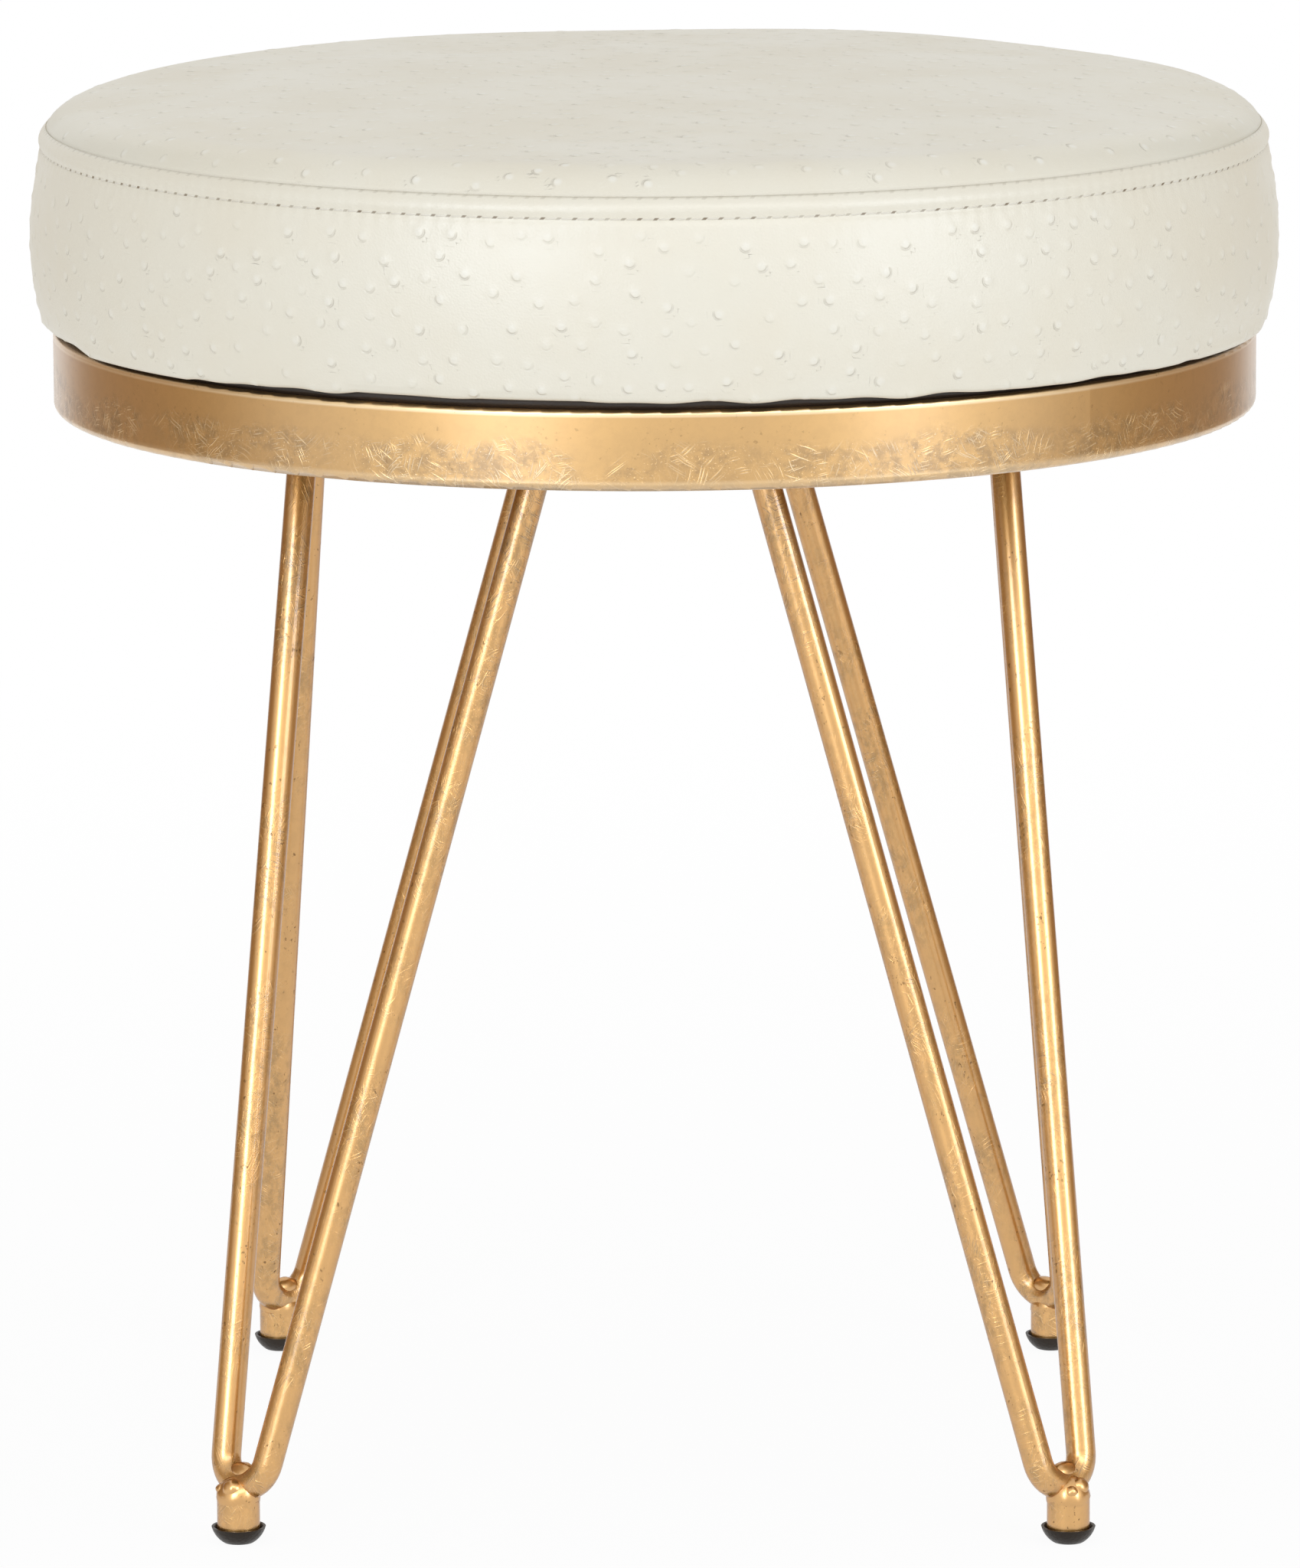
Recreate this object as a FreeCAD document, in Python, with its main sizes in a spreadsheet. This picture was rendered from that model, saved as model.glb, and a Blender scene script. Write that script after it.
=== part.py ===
import FreeCAD, Part
import Sketcher
import math
import os

# Round upholstered bench: a crowned, boxed cushion on a gold ring with four hairpin legs.
# Millimetres, +Z up. The origin is on the floor under the middle of the seat.
# Leg 1 stands on +X, and legs 2 to 4 follow anticlockwise seen from above.

LEG_COUNT = 4
RING_SCREW_COUNT = 4

# Sizes that can be set by themselves
SIZES = {
    # From the floor to the crown of the cushion
    "seat_height": 475.2,
    # Ring: rolled angle, one leg standing as the band and one lying inwards as the flange
    "ring_diameter": 410,
    "ring_height": 26.5,
    "ring_wall": 3,
    "ring_flange_width": 32,
    "ring_top_round": 1.5,
    "ring_lower_round": 2.6,
    # Cushion outline, from the hem up
    "seat_overhang": 7.3,
    "hem_width": 16,
    "hem_round": 4.1,
    "side_height": 58.6,
    "side_bulge": 3.6,
    "roll_height": 7,
    "roll_inset": 2.2,
    "roll_round": 8,
    "shoulder_width": 14.5,
    "shoulder_height": 9.7,
    "crown_rise": 3.6,
    # Inside the cushion
    "leather": 1.2,
    "fit_gap": 0.2,
    "foam_wrap": 3,
    "board_thickness": 15,
    "board_bevel": 1.5,
    # Hairpin legs
    "rod_diameter": 10,
    "bend_radius": 10.5,
    "hairpin_half_angle": 7.8,
    "leg_lean": 13.95,
    "foot_circle": 393,
    "bend_inset": 2,
    # Flat bars at the rod tops
    "bar_width": 30,
    "bar_thickness": 4,
    "bar_end_margin": 12,
    "bar_corner_round": 5,
    # Foot stubs, welds and glides
    "stub_diameter": 14.4,
    "stub_bore": 9.5,
    "stub_bore_depth": 9,
    "stub_length": 13,
    "saddle_depth": 2.5,
    "weld_height": 3.5,
    "weld_round": 9,
    "glide_diameter": 18.2,
    "glide_height": 5.3,
    "glide_foot_diameter": 10.4,
    "glide_bowl_round": 9,
    "glide_lip": 0.9,
    "glide_seat": 3.7,
    "glide_stem_length": 8,
    # Screws
    "screw_shank": 4,
    "screw_head": 8.5,
    "screw_head_height": 2.4,
    "screw_head_top": 5,
    "screw_bite": 11,
    "screw_point": 3,
    "screw_clearance": 0.5,
    "ring_screw_inset": 8,
    "bar_screw_rows": 17,
    "bar_screw_spread": 64,
}

# Places that follow from the sizes
PLACES = {
    "cushion_height": "=Sizes.hem_round + Sizes.side_height + Sizes.roll_height"
    " + Sizes.shoulder_height + Sizes.crown_rise",
    "ring_top": "=Sizes.seat_height - cushion_height",
    "ring_clearance": "=ring_top - Sizes.ring_height",
    "ring_r": "=Sizes.ring_diameter / 2",
    "ring_inner_r": "=ring_r - Sizes.ring_wall",
    "ring_flange_r": "=ring_r - Sizes.ring_flange_width",
    "ring_flange_z": "=ring_top - Sizes.ring_wall",
    "ring_corner_r": "=ring_r - Sizes.ring_top_round",
    "ring_corner_z": "=ring_top - Sizes.ring_top_round",
    "ring_lip_z": "=ring_clearance + Sizes.ring_lower_round",
    "ring_lip_r": "=ring_r - Sizes.ring_lower_round",
    # Outer face of the cover
    "side_r": "=ring_r + Sizes.seat_overhang - Sizes.side_bulge",
    "hem_r": "=side_r - Sizes.hem_round",
    "hem_inner_r": "=hem_r - Sizes.hem_width",
    "corner_z": "=ring_top + Sizes.hem_round",
    "stitch_z": "=corner_z + Sizes.side_height",
    "side_arc": "=(Sizes.side_height ^ 2 / 4 + Sizes.side_bulge ^ 2) / (2 * Sizes.side_bulge)",
    "seam_r": "=side_r - Sizes.roll_inset",
    "seam_z": "=stitch_z + Sizes.roll_height",
    "shoulder_r": "=seam_r - Sizes.shoulder_width",
    "shoulder_z": "=seam_z + Sizes.shoulder_height",
    "shoulder_arc": "=(Sizes.shoulder_width ^ 2 + Sizes.shoulder_height ^ 2)"
    " / (2 * Sizes.shoulder_height)",
    "crown_z": "=shoulder_z + Sizes.crown_rise",
    "crown_arc": "=(shoulder_r ^ 2 + Sizes.crown_rise ^ 2) / (2 * Sizes.crown_rise)",
    # Inner face of the cover
    "hem_z": "=ring_top + Sizes.leather",
    "side_inner_r": "=side_r - Sizes.leather",
    "seam_inner_r": "=seam_r - Sizes.leather",
    "shoulder_inner_z": "=shoulder_z - Sizes.leather",
    "shoulder_inner_arc": "=((Sizes.shoulder_width - Sizes.leather) ^ 2"
    " + (Sizes.shoulder_height - Sizes.leather) ^ 2) / (2 * (Sizes.shoulder_height - Sizes.leather))",
    "crown_inner_z": "=crown_z - Sizes.leather",
    # Foam, a fit inside the cover and over the board
    "skin": "=Sizes.leather + Sizes.fit_gap",
    "foam_hem_z": "=ring_top + skin",
    "foam_side_r": "=side_r - skin",
    "foam_seam_r": "=seam_r - skin",
    "foam_shoulder_z": "=shoulder_z - skin",
    "foam_shoulder_arc": "=((Sizes.shoulder_width - skin) ^ 2"
    " + (Sizes.shoulder_height - skin) ^ 2) / (2 * (Sizes.shoulder_height - skin))",
    "foam_crown_z": "=crown_z - skin",
    "board_r": "=hem_r - Sizes.foam_wrap",
    "board_top": "=hem_z + Sizes.board_thickness",
    "foam_rebate_r": "=board_r + Sizes.fit_gap",
    "dust_r": "=hem_inner_r - Sizes.fit_gap",
    # Hairpin: the bend's lowest point, its end and the straight up to the bar
    "rod_r": "=Sizes.rod_diameter / 2",
    "foot_r": "=Sizes.foot_circle / 2",
    "stub_top": "=Sizes.glide_seat + Sizes.stub_length",
    "bend_r": "=foot_r - Sizes.bend_inset",
    "bend_z": "=stub_top + rod_r - Sizes.saddle_depth",
    "bend_end_x": "=Sizes.bend_radius * cos(Sizes.hairpin_half_angle)",
    "bend_end_y": "=Sizes.bend_radius * (1 - sin(Sizes.hairpin_half_angle))",
    "bar_z": "=ring_top - Sizes.bar_thickness",
    "bar_reach": "=(bar_z - bend_z) / cos(Sizes.leg_lean)",
    "rod_end_y": "=bar_reach + Sizes.rod_diameter",
    "rod_end_x": "=bend_end_x + (rod_end_y - bend_end_y) * tan(Sizes.hairpin_half_angle)",
    # Bars
    "bar_r": "=bend_r - (bar_z - bend_z) * tan(Sizes.leg_lean)",
    "bar_half_length": "=bend_end_x + (bar_reach - bend_end_y) * tan(Sizes.hairpin_half_angle)"
    " + Sizes.bar_end_margin",
    "bar_inner_r": "=bar_r - Sizes.bar_width / 2",
    "bar_outer_r": "=bar_r + Sizes.bar_width / 2",
    "bar_screw_r": "=bar_r - Sizes.bar_screw_rows / 2",
    "bar_screw_offset": "=Sizes.bar_screw_spread / 2",
    "bar_screw_y": "=-bar_screw_offset",
    "bar_low": "=-bar_half_length",
    "bar_high": "=bar_half_length",
    "rod_cut_r": "=bar_r + Sizes.bar_width",
    "rod_cut_inner_r": "=bar_r - Sizes.bar_width",
    # Stubs, welds and glides
    "stub_r": "=Sizes.stub_diameter / 2",
    "bore_r": "=Sizes.stub_bore / 2",
    "stub_outer": "=foot_r + stub_r",
    "stub_inner": "=foot_r + bore_r",
    "bore_top": "=Sizes.glide_seat + Sizes.stub_bore_depth",
    "weld_top": "=stub_top + Sizes.weld_height",
    "glide_foot_edge": "=foot_r + Sizes.glide_foot_diameter / 2",
    "glide_lip_edge": "=foot_r + Sizes.glide_diameter / 2",
    "glide_lip_inner": "=glide_lip_edge - Sizes.glide_lip",
    "glide_seat_edge": "=stub_outer + Sizes.fit_gap",
    "stem_edge": "=stub_inner - Sizes.fit_gap",
    "stem_top": "=Sizes.glide_seat + Sizes.glide_stem_length",
    # Screws and their holes
    "ring_screw_r": "=ring_flange_r + Sizes.ring_screw_inset",
    "shank_r": "=Sizes.screw_shank / 2",
    "head_r": "=Sizes.screw_head / 2",
    "head_top_r": "=Sizes.screw_head_top / 2",
    "hole_r": "=shank_r + Sizes.screw_clearance",
    "pilot_r": "=shank_r + Sizes.fit_gap / 2",
    "pilot_depth": "=Sizes.screw_bite + Sizes.screw_clearance",
    "screw_tip_z": "=hem_z + Sizes.screw_bite",
    "screw_point_z": "=screw_tip_z - Sizes.screw_point",
    "ring_head_z": "=ring_flange_z - Sizes.screw_head_height",
    "bar_head_z": "=bar_z - Sizes.screw_head_height",
    "ring_shank_edge": "=ring_screw_r + shank_r",
    "ring_head_edge": "=ring_screw_r + head_r",
    "ring_head_top_edge": "=ring_screw_r + head_top_r",
    "bar_shank_edge": "=bar_screw_r + shank_r",
    "bar_head_edge": "=bar_screw_r + head_r",
    "bar_head_top_edge": "=bar_screw_r + head_top_r",
}

doc = FreeCAD.newDocument("RoundBench")


def fill_sheet(name, entries):
    """A spreadsheet with a name and a value, or a formula, on each row."""
    sheet = doc.addObject("Spreadsheet::Sheet", name)
    for row, alias in enumerate(entries, start=1):
        sheet.set(f"A{row}", alias)
        sheet.setAlias(f"B{row}", alias)
    for row, entry in enumerate(entries.values(), start=1):
        sheet.set(f"B{row}", str(entry))
    doc.recompute()
    return sheet


sizes = fill_sheet("Sizes", SIZES)
places = fill_sheet("Places", PLACES)


def cell(alias):
    """The expression that points at a named size or place."""
    return f"Sizes.{alias}" if alias in SIZES else f"Places.{alias}"


def value(alias):
    """The number behind a named size or place; the word axis is zero."""
    if alias == "axis":
        return 0.0
    return float(getattr(sizes if alias in SIZES else places, alias))


def new_body(label, azimuth=0.0):
    """A body with its own label, turned about the bench's axis."""
    body = doc.addObject("PartDesign::Body", label)
    body.Label = label
    body.AllowCompound = True
    body.Placement.Rotation = FreeCAD.Rotation(FreeCAD.Vector(0, 0, 1), azimuth)
    return body


def origin(body, role):
    """One of a body's own origin planes or axes."""
    return next(feature for feature in body.Origin.OriginFeatures if feature.Role == role)


def new_sketch(body, name, role, height=None):
    """A sketch on an origin plane of its body, raised along the plane's normal if asked."""
    sketch = body.newObject("Sketcher::SketchObject", name)
    sketch.AttachmentSupport = (origin(body, role), [""])
    sketch.MapMode = "FlatFace"
    if height:
        sketch.setExpression("AttachmentOffset.Base.z", cell(height))
    return sketch


def pin(sketch, edge, end, x, y):
    """Tie one end of a sketch edge, or a circle's centre, to named coordinates."""
    for kind, alias, axis in (("DistanceX", x, -2), ("DistanceY", y, -1)):
        if alias == "axis":
            sketch.addConstraint(Sketcher.Constraint("PointOnObject", edge, end, axis))
            continue
        sketch.addConstraint(Sketcher.Constraint(kind, -1, 1, edge, end, value(alias)))
        sketch.setExpression(f"Constraints[{sketch.ConstraintCount - 1}]", cell(alias))


def bow(start, finish, radius, side):
    """An arc from start to finish; side +1 bows to the left of the way and -1 to the right."""
    way = finish - start
    half = way.Length / 2
    sagitta = radius - math.sqrt(radius ** 2 - half ** 2)
    left = FreeCAD.Vector(-way.y, way.x, 0).normalize()
    middle = start + way * 0.5 + left * (side * sagitta)
    return Part.Arc(start, middle, finish)


def draw_path(sketch, corners, closed=True):
    """Lines and arcs through named corners.

    A corner is (x, y), and (x, y, radius, side) where an arc leads on from it.
    """
    spots = [FreeCAD.Vector(value(corner[0]), value(corner[1]), 0) for corner in corners]
    last = len(corners) if closed else len(corners) - 1
    ends = []
    for index in range(last):
        corner = corners[index]
        start = spots[index]
        finish = spots[(index + 1) % len(corners)]
        if len(corner) == 2:
            edge = sketch.addGeometry(Part.LineSegment(start, finish))
        else:
            edge = sketch.addGeometry(bow(start, finish, value(corner[2]), corner[3]))
            sketch.addConstraint(Sketcher.Constraint("Radius", edge, value(corner[2])))
            sketch.setExpression(f"Constraints[{sketch.ConstraintCount - 1}]", cell(corner[2]))
        to_first = sketch.getPoint(edge, 1).distanceToPoint(start)
        to_second = sketch.getPoint(edge, 2).distanceToPoint(start)
        ends.append((edge, 1, 2) if to_first < to_second else (edge, 2, 1))
    for index in range(last):
        edge, start_end, finish_end = ends[index]
        pin(sketch, edge, start_end, corners[index][0], corners[index][1])
        if closed or index + 1 < last:
            following, following_start, _ = ends[(index + 1) % last]
            meeting = Sketcher.Constraint("Coincident", edge, finish_end, following, following_start)
            sketch.addConstraint(meeting)
        else:
            pin(sketch, edge, finish_end, corners[-1][0], corners[-1][1])


def draw_circle(sketch, x, y, radius):
    """A circle of a named radius on a named centre."""
    centre = FreeCAD.Vector(value(x), value(y), 0)
    edge = sketch.addGeometry(Part.Circle(centre, FreeCAD.Vector(0, 0, 1), value(radius)))
    pin(sketch, edge, 3, x, y)
    sketch.addConstraint(Sketcher.Constraint("Radius", edge, value(radius)))
    sketch.setExpression(f"Constraints[{sketch.ConstraintCount - 1}]", cell(radius))


def revolve(body, name, corners, axis_at=None, height=None):
    """Turn a closed outline on the XZ plane about Z, or about an upright line at a named distance."""
    sketch = new_sketch(body, f"{name}Outline", "XZ_Plane", height)
    draw_path(sketch, corners)
    axis = "V_Axis"
    if axis_at:
        foot = FreeCAD.Vector(value(axis_at), 0, 0)
        head = foot + FreeCAD.Vector(0, value("ring_top"), 0)
        line = sketch.addGeometry(Part.LineSegment(foot, head), True)
        pin(sketch, line, 1, axis_at, "axis")
        pin(sketch, line, 2, axis_at, "ring_top")
        axis = "Axis0"
    turned = body.newObject("PartDesign::Revolution", name)
    turned.Profile = sketch
    turned.ReferenceAxis = (sketch, [axis])
    turned.Angle = 360
    return turned


def pad(body, name, sketch, length):
    """Raise a sketch by a named length."""
    raised = body.newObject("PartDesign::Pad", name)
    raised.Profile = sketch
    raised.setExpression("Length", cell(length))
    return raised


def cut_up(body, name, sketch, depth=None):
    """Cut a sketch upwards, to a named depth or right through."""
    cut = body.newObject("PartDesign::Pocket", name)
    cut.Profile = sketch
    cut.Reversed = True
    if depth:
        cut.setExpression("Length", cell(depth))
    else:
        cut.Type = "ThroughAll"
    return cut


def repeat_round(body, name, features, count):
    """Repeat features evenly about the bench's axis."""
    pattern = body.newObject("PartDesign::PolarPattern", name)
    pattern.Originals = features
    pattern.Axis = (origin(body, "Z_Axis"), [""])
    pattern.Angle = 360
    pattern.Occurrences = count
    body.Tip = pattern
    return pattern


def bar_screw_grid(body, name):
    """The two by two pattern of the screws in one bar."""
    grid = body.newObject("PartDesign::LinearPattern", name)
    grid.Direction = (origin(body, "X_Axis"), [""])
    grid.setExpression("Length", cell("bar_screw_rows"))
    grid.Occurrences = 2
    grid.Direction2 = (origin(body, "Y_Axis"), [""])
    grid.setExpression("Length2", cell("bar_screw_spread"))
    grid.Occurrences2 = 2
    return grid


def repeat_on_bars(body, name, feature):
    """Repeat the first bar screw's feature over its bar, and over all the bars."""
    spread = body.newObject("PartDesign::MultiTransform", name)
    grid = bar_screw_grid(body, f"{name}Grid")
    legs = body.newObject("PartDesign::PolarPattern", f"{name}Legs")
    legs.Axis = (origin(body, "Z_Axis"), [""])
    legs.Angle = 360
    legs.Occurrences = LEG_COUNT
    spread.Originals = [feature]
    spread.Transformations = [grid, legs]
    body.Tip = spread
    return spread


def make_ring():
    """The gold ring: an angle section turned about the axis, with screw holes in its flange."""
    body = new_body("apron_ring")
    revolve(body, "Band", [
        ("ring_lip_r", "ring_clearance", "ring_lower_round", -1),
        ("ring_r", "ring_lip_z"),
        ("ring_r", "ring_corner_z", "ring_top_round", -1),
        ("ring_corner_r", "ring_top"),
        ("ring_flange_r", "ring_top"),
        ("ring_flange_r", "ring_flange_z"),
        ("ring_inner_r", "ring_flange_z"),
        ("ring_inner_r", "ring_clearance"),
    ])
    holes = new_sketch(body, "ScrewHole", "XY_Plane")
    draw_circle(holes, "ring_screw_r", "axis", "hole_r")
    cut = cut_up(body, "Hole", holes)
    repeat_round(body, "Holes", [cut], RING_SCREW_COUNT)
    return body


def make_board():
    """Plywood disc with eased edges and a pilot hole for every screw."""
    body = new_body("seat_board")
    disc = new_sketch(body, "Disc", "XY_Plane", "hem_z")
    draw_circle(disc, "axis", "axis", "board_r")
    blank = pad(body, "Blank", disc, "board_thickness")
    doc.recompute()
    edges = [
        f"Edge{number}"
        for number, edge in enumerate(blank.Shape.Edges, start=1)
        if edge.isClosed()
    ]
    eased = body.newObject("PartDesign::Chamfer", "EasedEdges")
    eased.Base = (blank, edges)
    eased.setExpression("Size", cell("board_bevel"))
    drill_for_screws(body, "hem_z", "pilot_r", "pilot_depth")
    return body


def drill_for_screws(body, height, radius, depth=None):
    """Holes for the ring's screws and the bars' screws."""
    ring_spot = new_sketch(body, "RingScrewSpot", "XY_Plane", height)
    draw_circle(ring_spot, "ring_screw_r", "axis", radius)
    ring_hole = cut_up(body, "RingScrewHole", ring_spot, depth)
    repeat_round(body, "RingScrewHoles", [ring_hole], RING_SCREW_COUNT)
    bar_spot = new_sketch(body, "BarScrewSpot", "XY_Plane", height)
    draw_circle(bar_spot, "bar_screw_r", "bar_screw_y", radius)
    bar_hole = cut_up(body, "BarScrewHole", bar_spot, depth)
    repeat_on_bars(body, "BarScrewHoles", bar_hole)


def make_dust_cover():
    """Thin cloth disc under the board, inside the leather hem, pierced by the screws."""
    body = new_body("dust_cover")
    disc = new_sketch(body, "Disc", "XY_Plane", "ring_top")
    draw_circle(disc, "axis", "axis", "dust_r")
    pad(body, "Cloth", disc, "leather")
    drill_for_screws(body, "ring_top", "hole_r")
    return body


def make_top_panel():
    """Crowned leather panel that turns down at its shoulder to the seam."""
    body = new_body("cover_top_panel")
    revolve(body, "Panel", [
        ("axis", "crown_z", "crown_arc", 1),
        ("shoulder_r", "shoulder_z", "shoulder_arc", 1),
        ("seam_r", "seam_z"),
        ("seam_inner_r", "seam_z", "shoulder_inner_arc", -1),
        ("shoulder_r", "shoulder_inner_z", "crown_arc", -1),
        ("axis", "crown_inner_z"),
    ])
    return body


def make_side_band():
    """Leather band: a rolled edge at the seam, a bulging side and the hem turned under.

    Inside, the doubled leather of the seam and of the hem's corner fills the rounds.
    """
    body = new_body("cover_side_band")
    revolve(body, "Band", [
        ("seam_r", "seam_z", "roll_round", 1),
        ("side_r", "stitch_z", "side_arc", 1),
        ("side_r", "corner_z", "hem_round", 1),
        ("hem_r", "ring_top"),
        ("hem_inner_r", "ring_top"),
        ("hem_inner_r", "hem_z"),
        ("hem_r", "hem_z"),
        ("side_inner_r", "corner_z", "side_arc", -1),
        ("side_inner_r", "stitch_z"),
        ("seam_inner_r", "seam_z"),
    ])
    return body


def make_foam():
    """Foam pad that fills the cover and wraps over the edge of the board."""
    body = new_body("seat_foam")
    revolve(body, "Pad", [
        ("axis", "foam_crown_z", "crown_arc", 1),
        ("shoulder_r", "foam_shoulder_z", "foam_shoulder_arc", 1),
        ("foam_seam_r", "seam_z"),
        ("foam_side_r", "stitch_z", "side_arc", 1),
        ("foam_side_r", "corner_z"),
        ("hem_r", "foam_hem_z"),
        ("foam_rebate_r", "foam_hem_z"),
        ("foam_rebate_r", "board_top"),
        ("axis", "board_top"),
    ])
    return body


def screw_outline(centre, head_top_edge, head_edge, shank_edge, head_z, seat_z):
    """Half of a low-headed screw, from the middle of its head round to its point."""
    return [
        (centre, head_z),
        (head_top_edge, head_z),
        (head_edge, seat_z),
        (shank_edge, seat_z),
        (shank_edge, "screw_point_z"),
        (centre, "screw_tip_z"),
    ]


def make_ring_screws():
    """Screws up through the ring's flange."""
    body = new_body("ring_screws")
    outline = screw_outline(
        "ring_screw_r", "ring_head_top_edge", "ring_head_edge", "ring_shank_edge",
        "ring_head_z", "ring_flange_z")
    screw = revolve(body, "Screw", outline, axis_at="ring_screw_r")
    repeat_round(body, "Screws", [screw], RING_SCREW_COUNT)
    return body


def make_leg_screws():
    """Screws up through the four bars."""
    body = new_body("leg_screws")
    outline = screw_outline(
        "bar_screw_r", "bar_head_top_edge", "bar_head_edge", "bar_shank_edge",
        "bar_head_z", "bar_z")
    screw = revolve(body, "Screw", outline, axis_at="bar_screw_r", height="bar_screw_offset")
    repeat_on_bars(body, "Screws", screw)
    return body


def make_rod(label, azimuth):
    """Hairpin leg: half of the bend and one straight are swept, mirrored and cut level under the bar."""
    body = new_body(label, azimuth)
    section = new_sketch(body, "Section", "XZ_Plane")
    draw_circle(section, "bend_r", "bend_z", "rod_r")
    spine = new_sketch(body, "Spine", "YZ_Plane")
    leaning = FreeCAD.Rotation(FreeCAD.Vector(1, 0, 0), -value("leg_lean"))
    foot = FreeCAD.Vector(0, value("bend_z"), value("bend_r"))
    spine.AttachmentOffset = FreeCAD.Placement(foot, leaning)
    spine.setExpression("AttachmentOffset.Base.y", cell("bend_z"))
    spine.setExpression("AttachmentOffset.Base.z", cell("bend_r"))
    draw_path(spine, [
        ("axis", "axis", "bend_radius", -1),
        ("bend_end_x", "bend_end_y"),
        ("rod_end_x", "rod_end_y"),
    ], closed=False)
    half = body.newObject("PartDesign::AdditivePipe", "HalfRod")
    half.Profile = section
    half.Spine = spine
    mirrored = body.newObject("PartDesign::Mirrored", "OtherHalf")
    mirrored.Originals = [half]
    mirrored.MirrorPlane = (origin(body, "XZ_Plane"), [""])
    body.Tip = mirrored
    doc.recompute()
    ends = new_sketch(body, "TopCut", "XY_Plane", "bar_z")
    draw_path(ends, [
        ("rod_cut_inner_r", "bar_low"),
        ("rod_cut_r", "bar_low"),
        ("rod_cut_r", "bar_high"),
        ("rod_cut_inner_r", "bar_high"),
    ])
    cut_up(body, "LevelEnds", ends)
    return body


def make_bar(label, azimuth):
    """Flat bar that the two rod tops are welded to, with rounded corners and four screw holes."""
    body = new_body(label, azimuth)
    plan = new_sketch(body, "Plan", "XY_Plane", "bar_z")
    draw_path(plan, [
        ("bar_inner_r", "bar_low"),
        ("bar_outer_r", "bar_low"),
        ("bar_outer_r", "bar_high"),
        ("bar_inner_r", "bar_high"),
    ])
    flat = pad(body, "Flat", plan, "bar_thickness")
    doc.recompute()
    upright = [
        f"Edge{number}"
        for number, edge in enumerate(flat.Shape.Edges, start=1)
        if abs(edge.tangentAt(edge.FirstParameter).z) > 0.99
    ]
    rounded = body.newObject("PartDesign::Fillet", "Corners")
    rounded.Base = (flat, upright)
    rounded.setExpression("Radius", cell("bar_corner_round"))
    spot = new_sketch(body, "ScrewSpot", "XY_Plane", "bar_z")
    draw_circle(spot, "bar_screw_r", "bar_screw_y", "hole_r")
    hole = cut_up(body, "ScrewHole", spot)
    grid = bar_screw_grid(body, "ScrewHoles")
    grid.Originals = [hole]
    body.Tip = grid
    return body


def make_stub(label, azimuth):
    """Foot tube, closed at the top and hollowed there to seat the bend, bored below for the glide."""
    body = new_body(label, azimuth)
    revolve(body, "Tube", [
        ("foot_r", "bore_top"),
        ("stub_inner", "bore_top"),
        ("stub_inner", "glide_seat"),
        ("stub_outer", "glide_seat"),
        ("stub_outer", "stub_top"),
        ("foot_r", "stub_top"),
    ], axis_at="foot_r")
    section = new_sketch(body, "SaddleSection", "XZ_Plane")
    draw_circle(section, "bend_r", "bend_z", "rod_r")
    saddle = body.newObject("PartDesign::Pocket", "Saddle")
    saddle.Profile = section
    saddle.SideType = "Symmetric"
    saddle.Type = "ThroughAll"
    return body


def make_weld(label, azimuth, rod):
    """Domed bead on top of the foot tube, taken back where the rod lies in it."""
    dome = new_body(f"{label}_dome", azimuth)
    revolve(dome, "Dome", [
        ("foot_r", "stub_top"),
        ("stub_outer", "stub_top", "weld_round", -1),
        ("foot_r", "weld_top"),
    ], axis_at="foot_r")
    bead = doc.addObject("Part::Cut", label)
    bead.Label = label
    bead.Base = dome
    bead.Tool = rod
    return bead


def make_glide(label, azimuth):
    """Plastic glide: a bowl with a flared lip, a seat for the tube and a stem up its bore."""
    body = new_body(label, azimuth)
    revolve(body, "Bowl", [
        ("foot_r", "axis"),
        ("glide_foot_edge", "axis", "glide_bowl_round", -1),
        ("glide_lip_edge", "glide_height"),
        ("glide_lip_inner", "glide_height"),
        ("glide_seat_edge", "glide_seat"),
        ("stem_edge", "glide_seat"),
        ("stem_edge", "stem_top"),
        ("foot_r", "stem_top"),
    ], axis_at="foot_r")
    return body


pieces = [
    make_ring(),
    make_board(),
    make_dust_cover(),
    make_top_panel(),
    make_side_band(),
    make_foam(),
    make_ring_screws(),
    make_leg_screws(),
]
for number in range(1, LEG_COUNT + 1):
    azimuth = 360 * (number - 1) / LEG_COUNT
    rod = make_rod(f"leg_{number}_rod", azimuth)
    pieces.append(rod)
    pieces.append(make_bar(f"leg_{number}_bar", azimuth))
    pieces.append(make_stub(f"leg_{number}_stub", azimuth))
    pieces.append(make_weld(f"leg_{number}_weld", azimuth, rod))
    pieces.append(make_glide(f"leg_{number}_glide", azimuth))
doc.recompute()

faults = [thing.Label for thing in doc.Objects if {"Invalid", "Error"} & set(thing.State)]
faults += [piece.Label for piece in pieces if piece.Shape.isNull() or not piece.Shape.isValid()]
if faults:
    raise RuntimeError(f"These did not build: {faults}")

os.makedirs("parts", exist_ok=True)
for piece in pieces:
    shape = piece.Shape
    shape.exportStep(f"parts/{piece.Label}.step")
    print(f"{piece.Label}: {len(shape.Solids)} solids, {shape.Volume / 1000:.2f} cm3")
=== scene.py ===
# %% [markdown]
# # A round bench with hairpin legs
# The bench is a crowned cream leather cushion on a gold-leafed ring, carried by four bent rods.
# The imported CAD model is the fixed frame: the metal, the board and the plastic glides stay as they
# are and only get finishes. The cushion, its stitching, the weld beads and the screws are soft,
# lumpy or finely cut, so they are modelled here over the places that the frame gives.

# %% Load the frame
import math
import bpy
import numpy as np
from mathutils import Matrix, Vector, kdtree, noise
from mathutils.bvhtree import BVHTree


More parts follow.
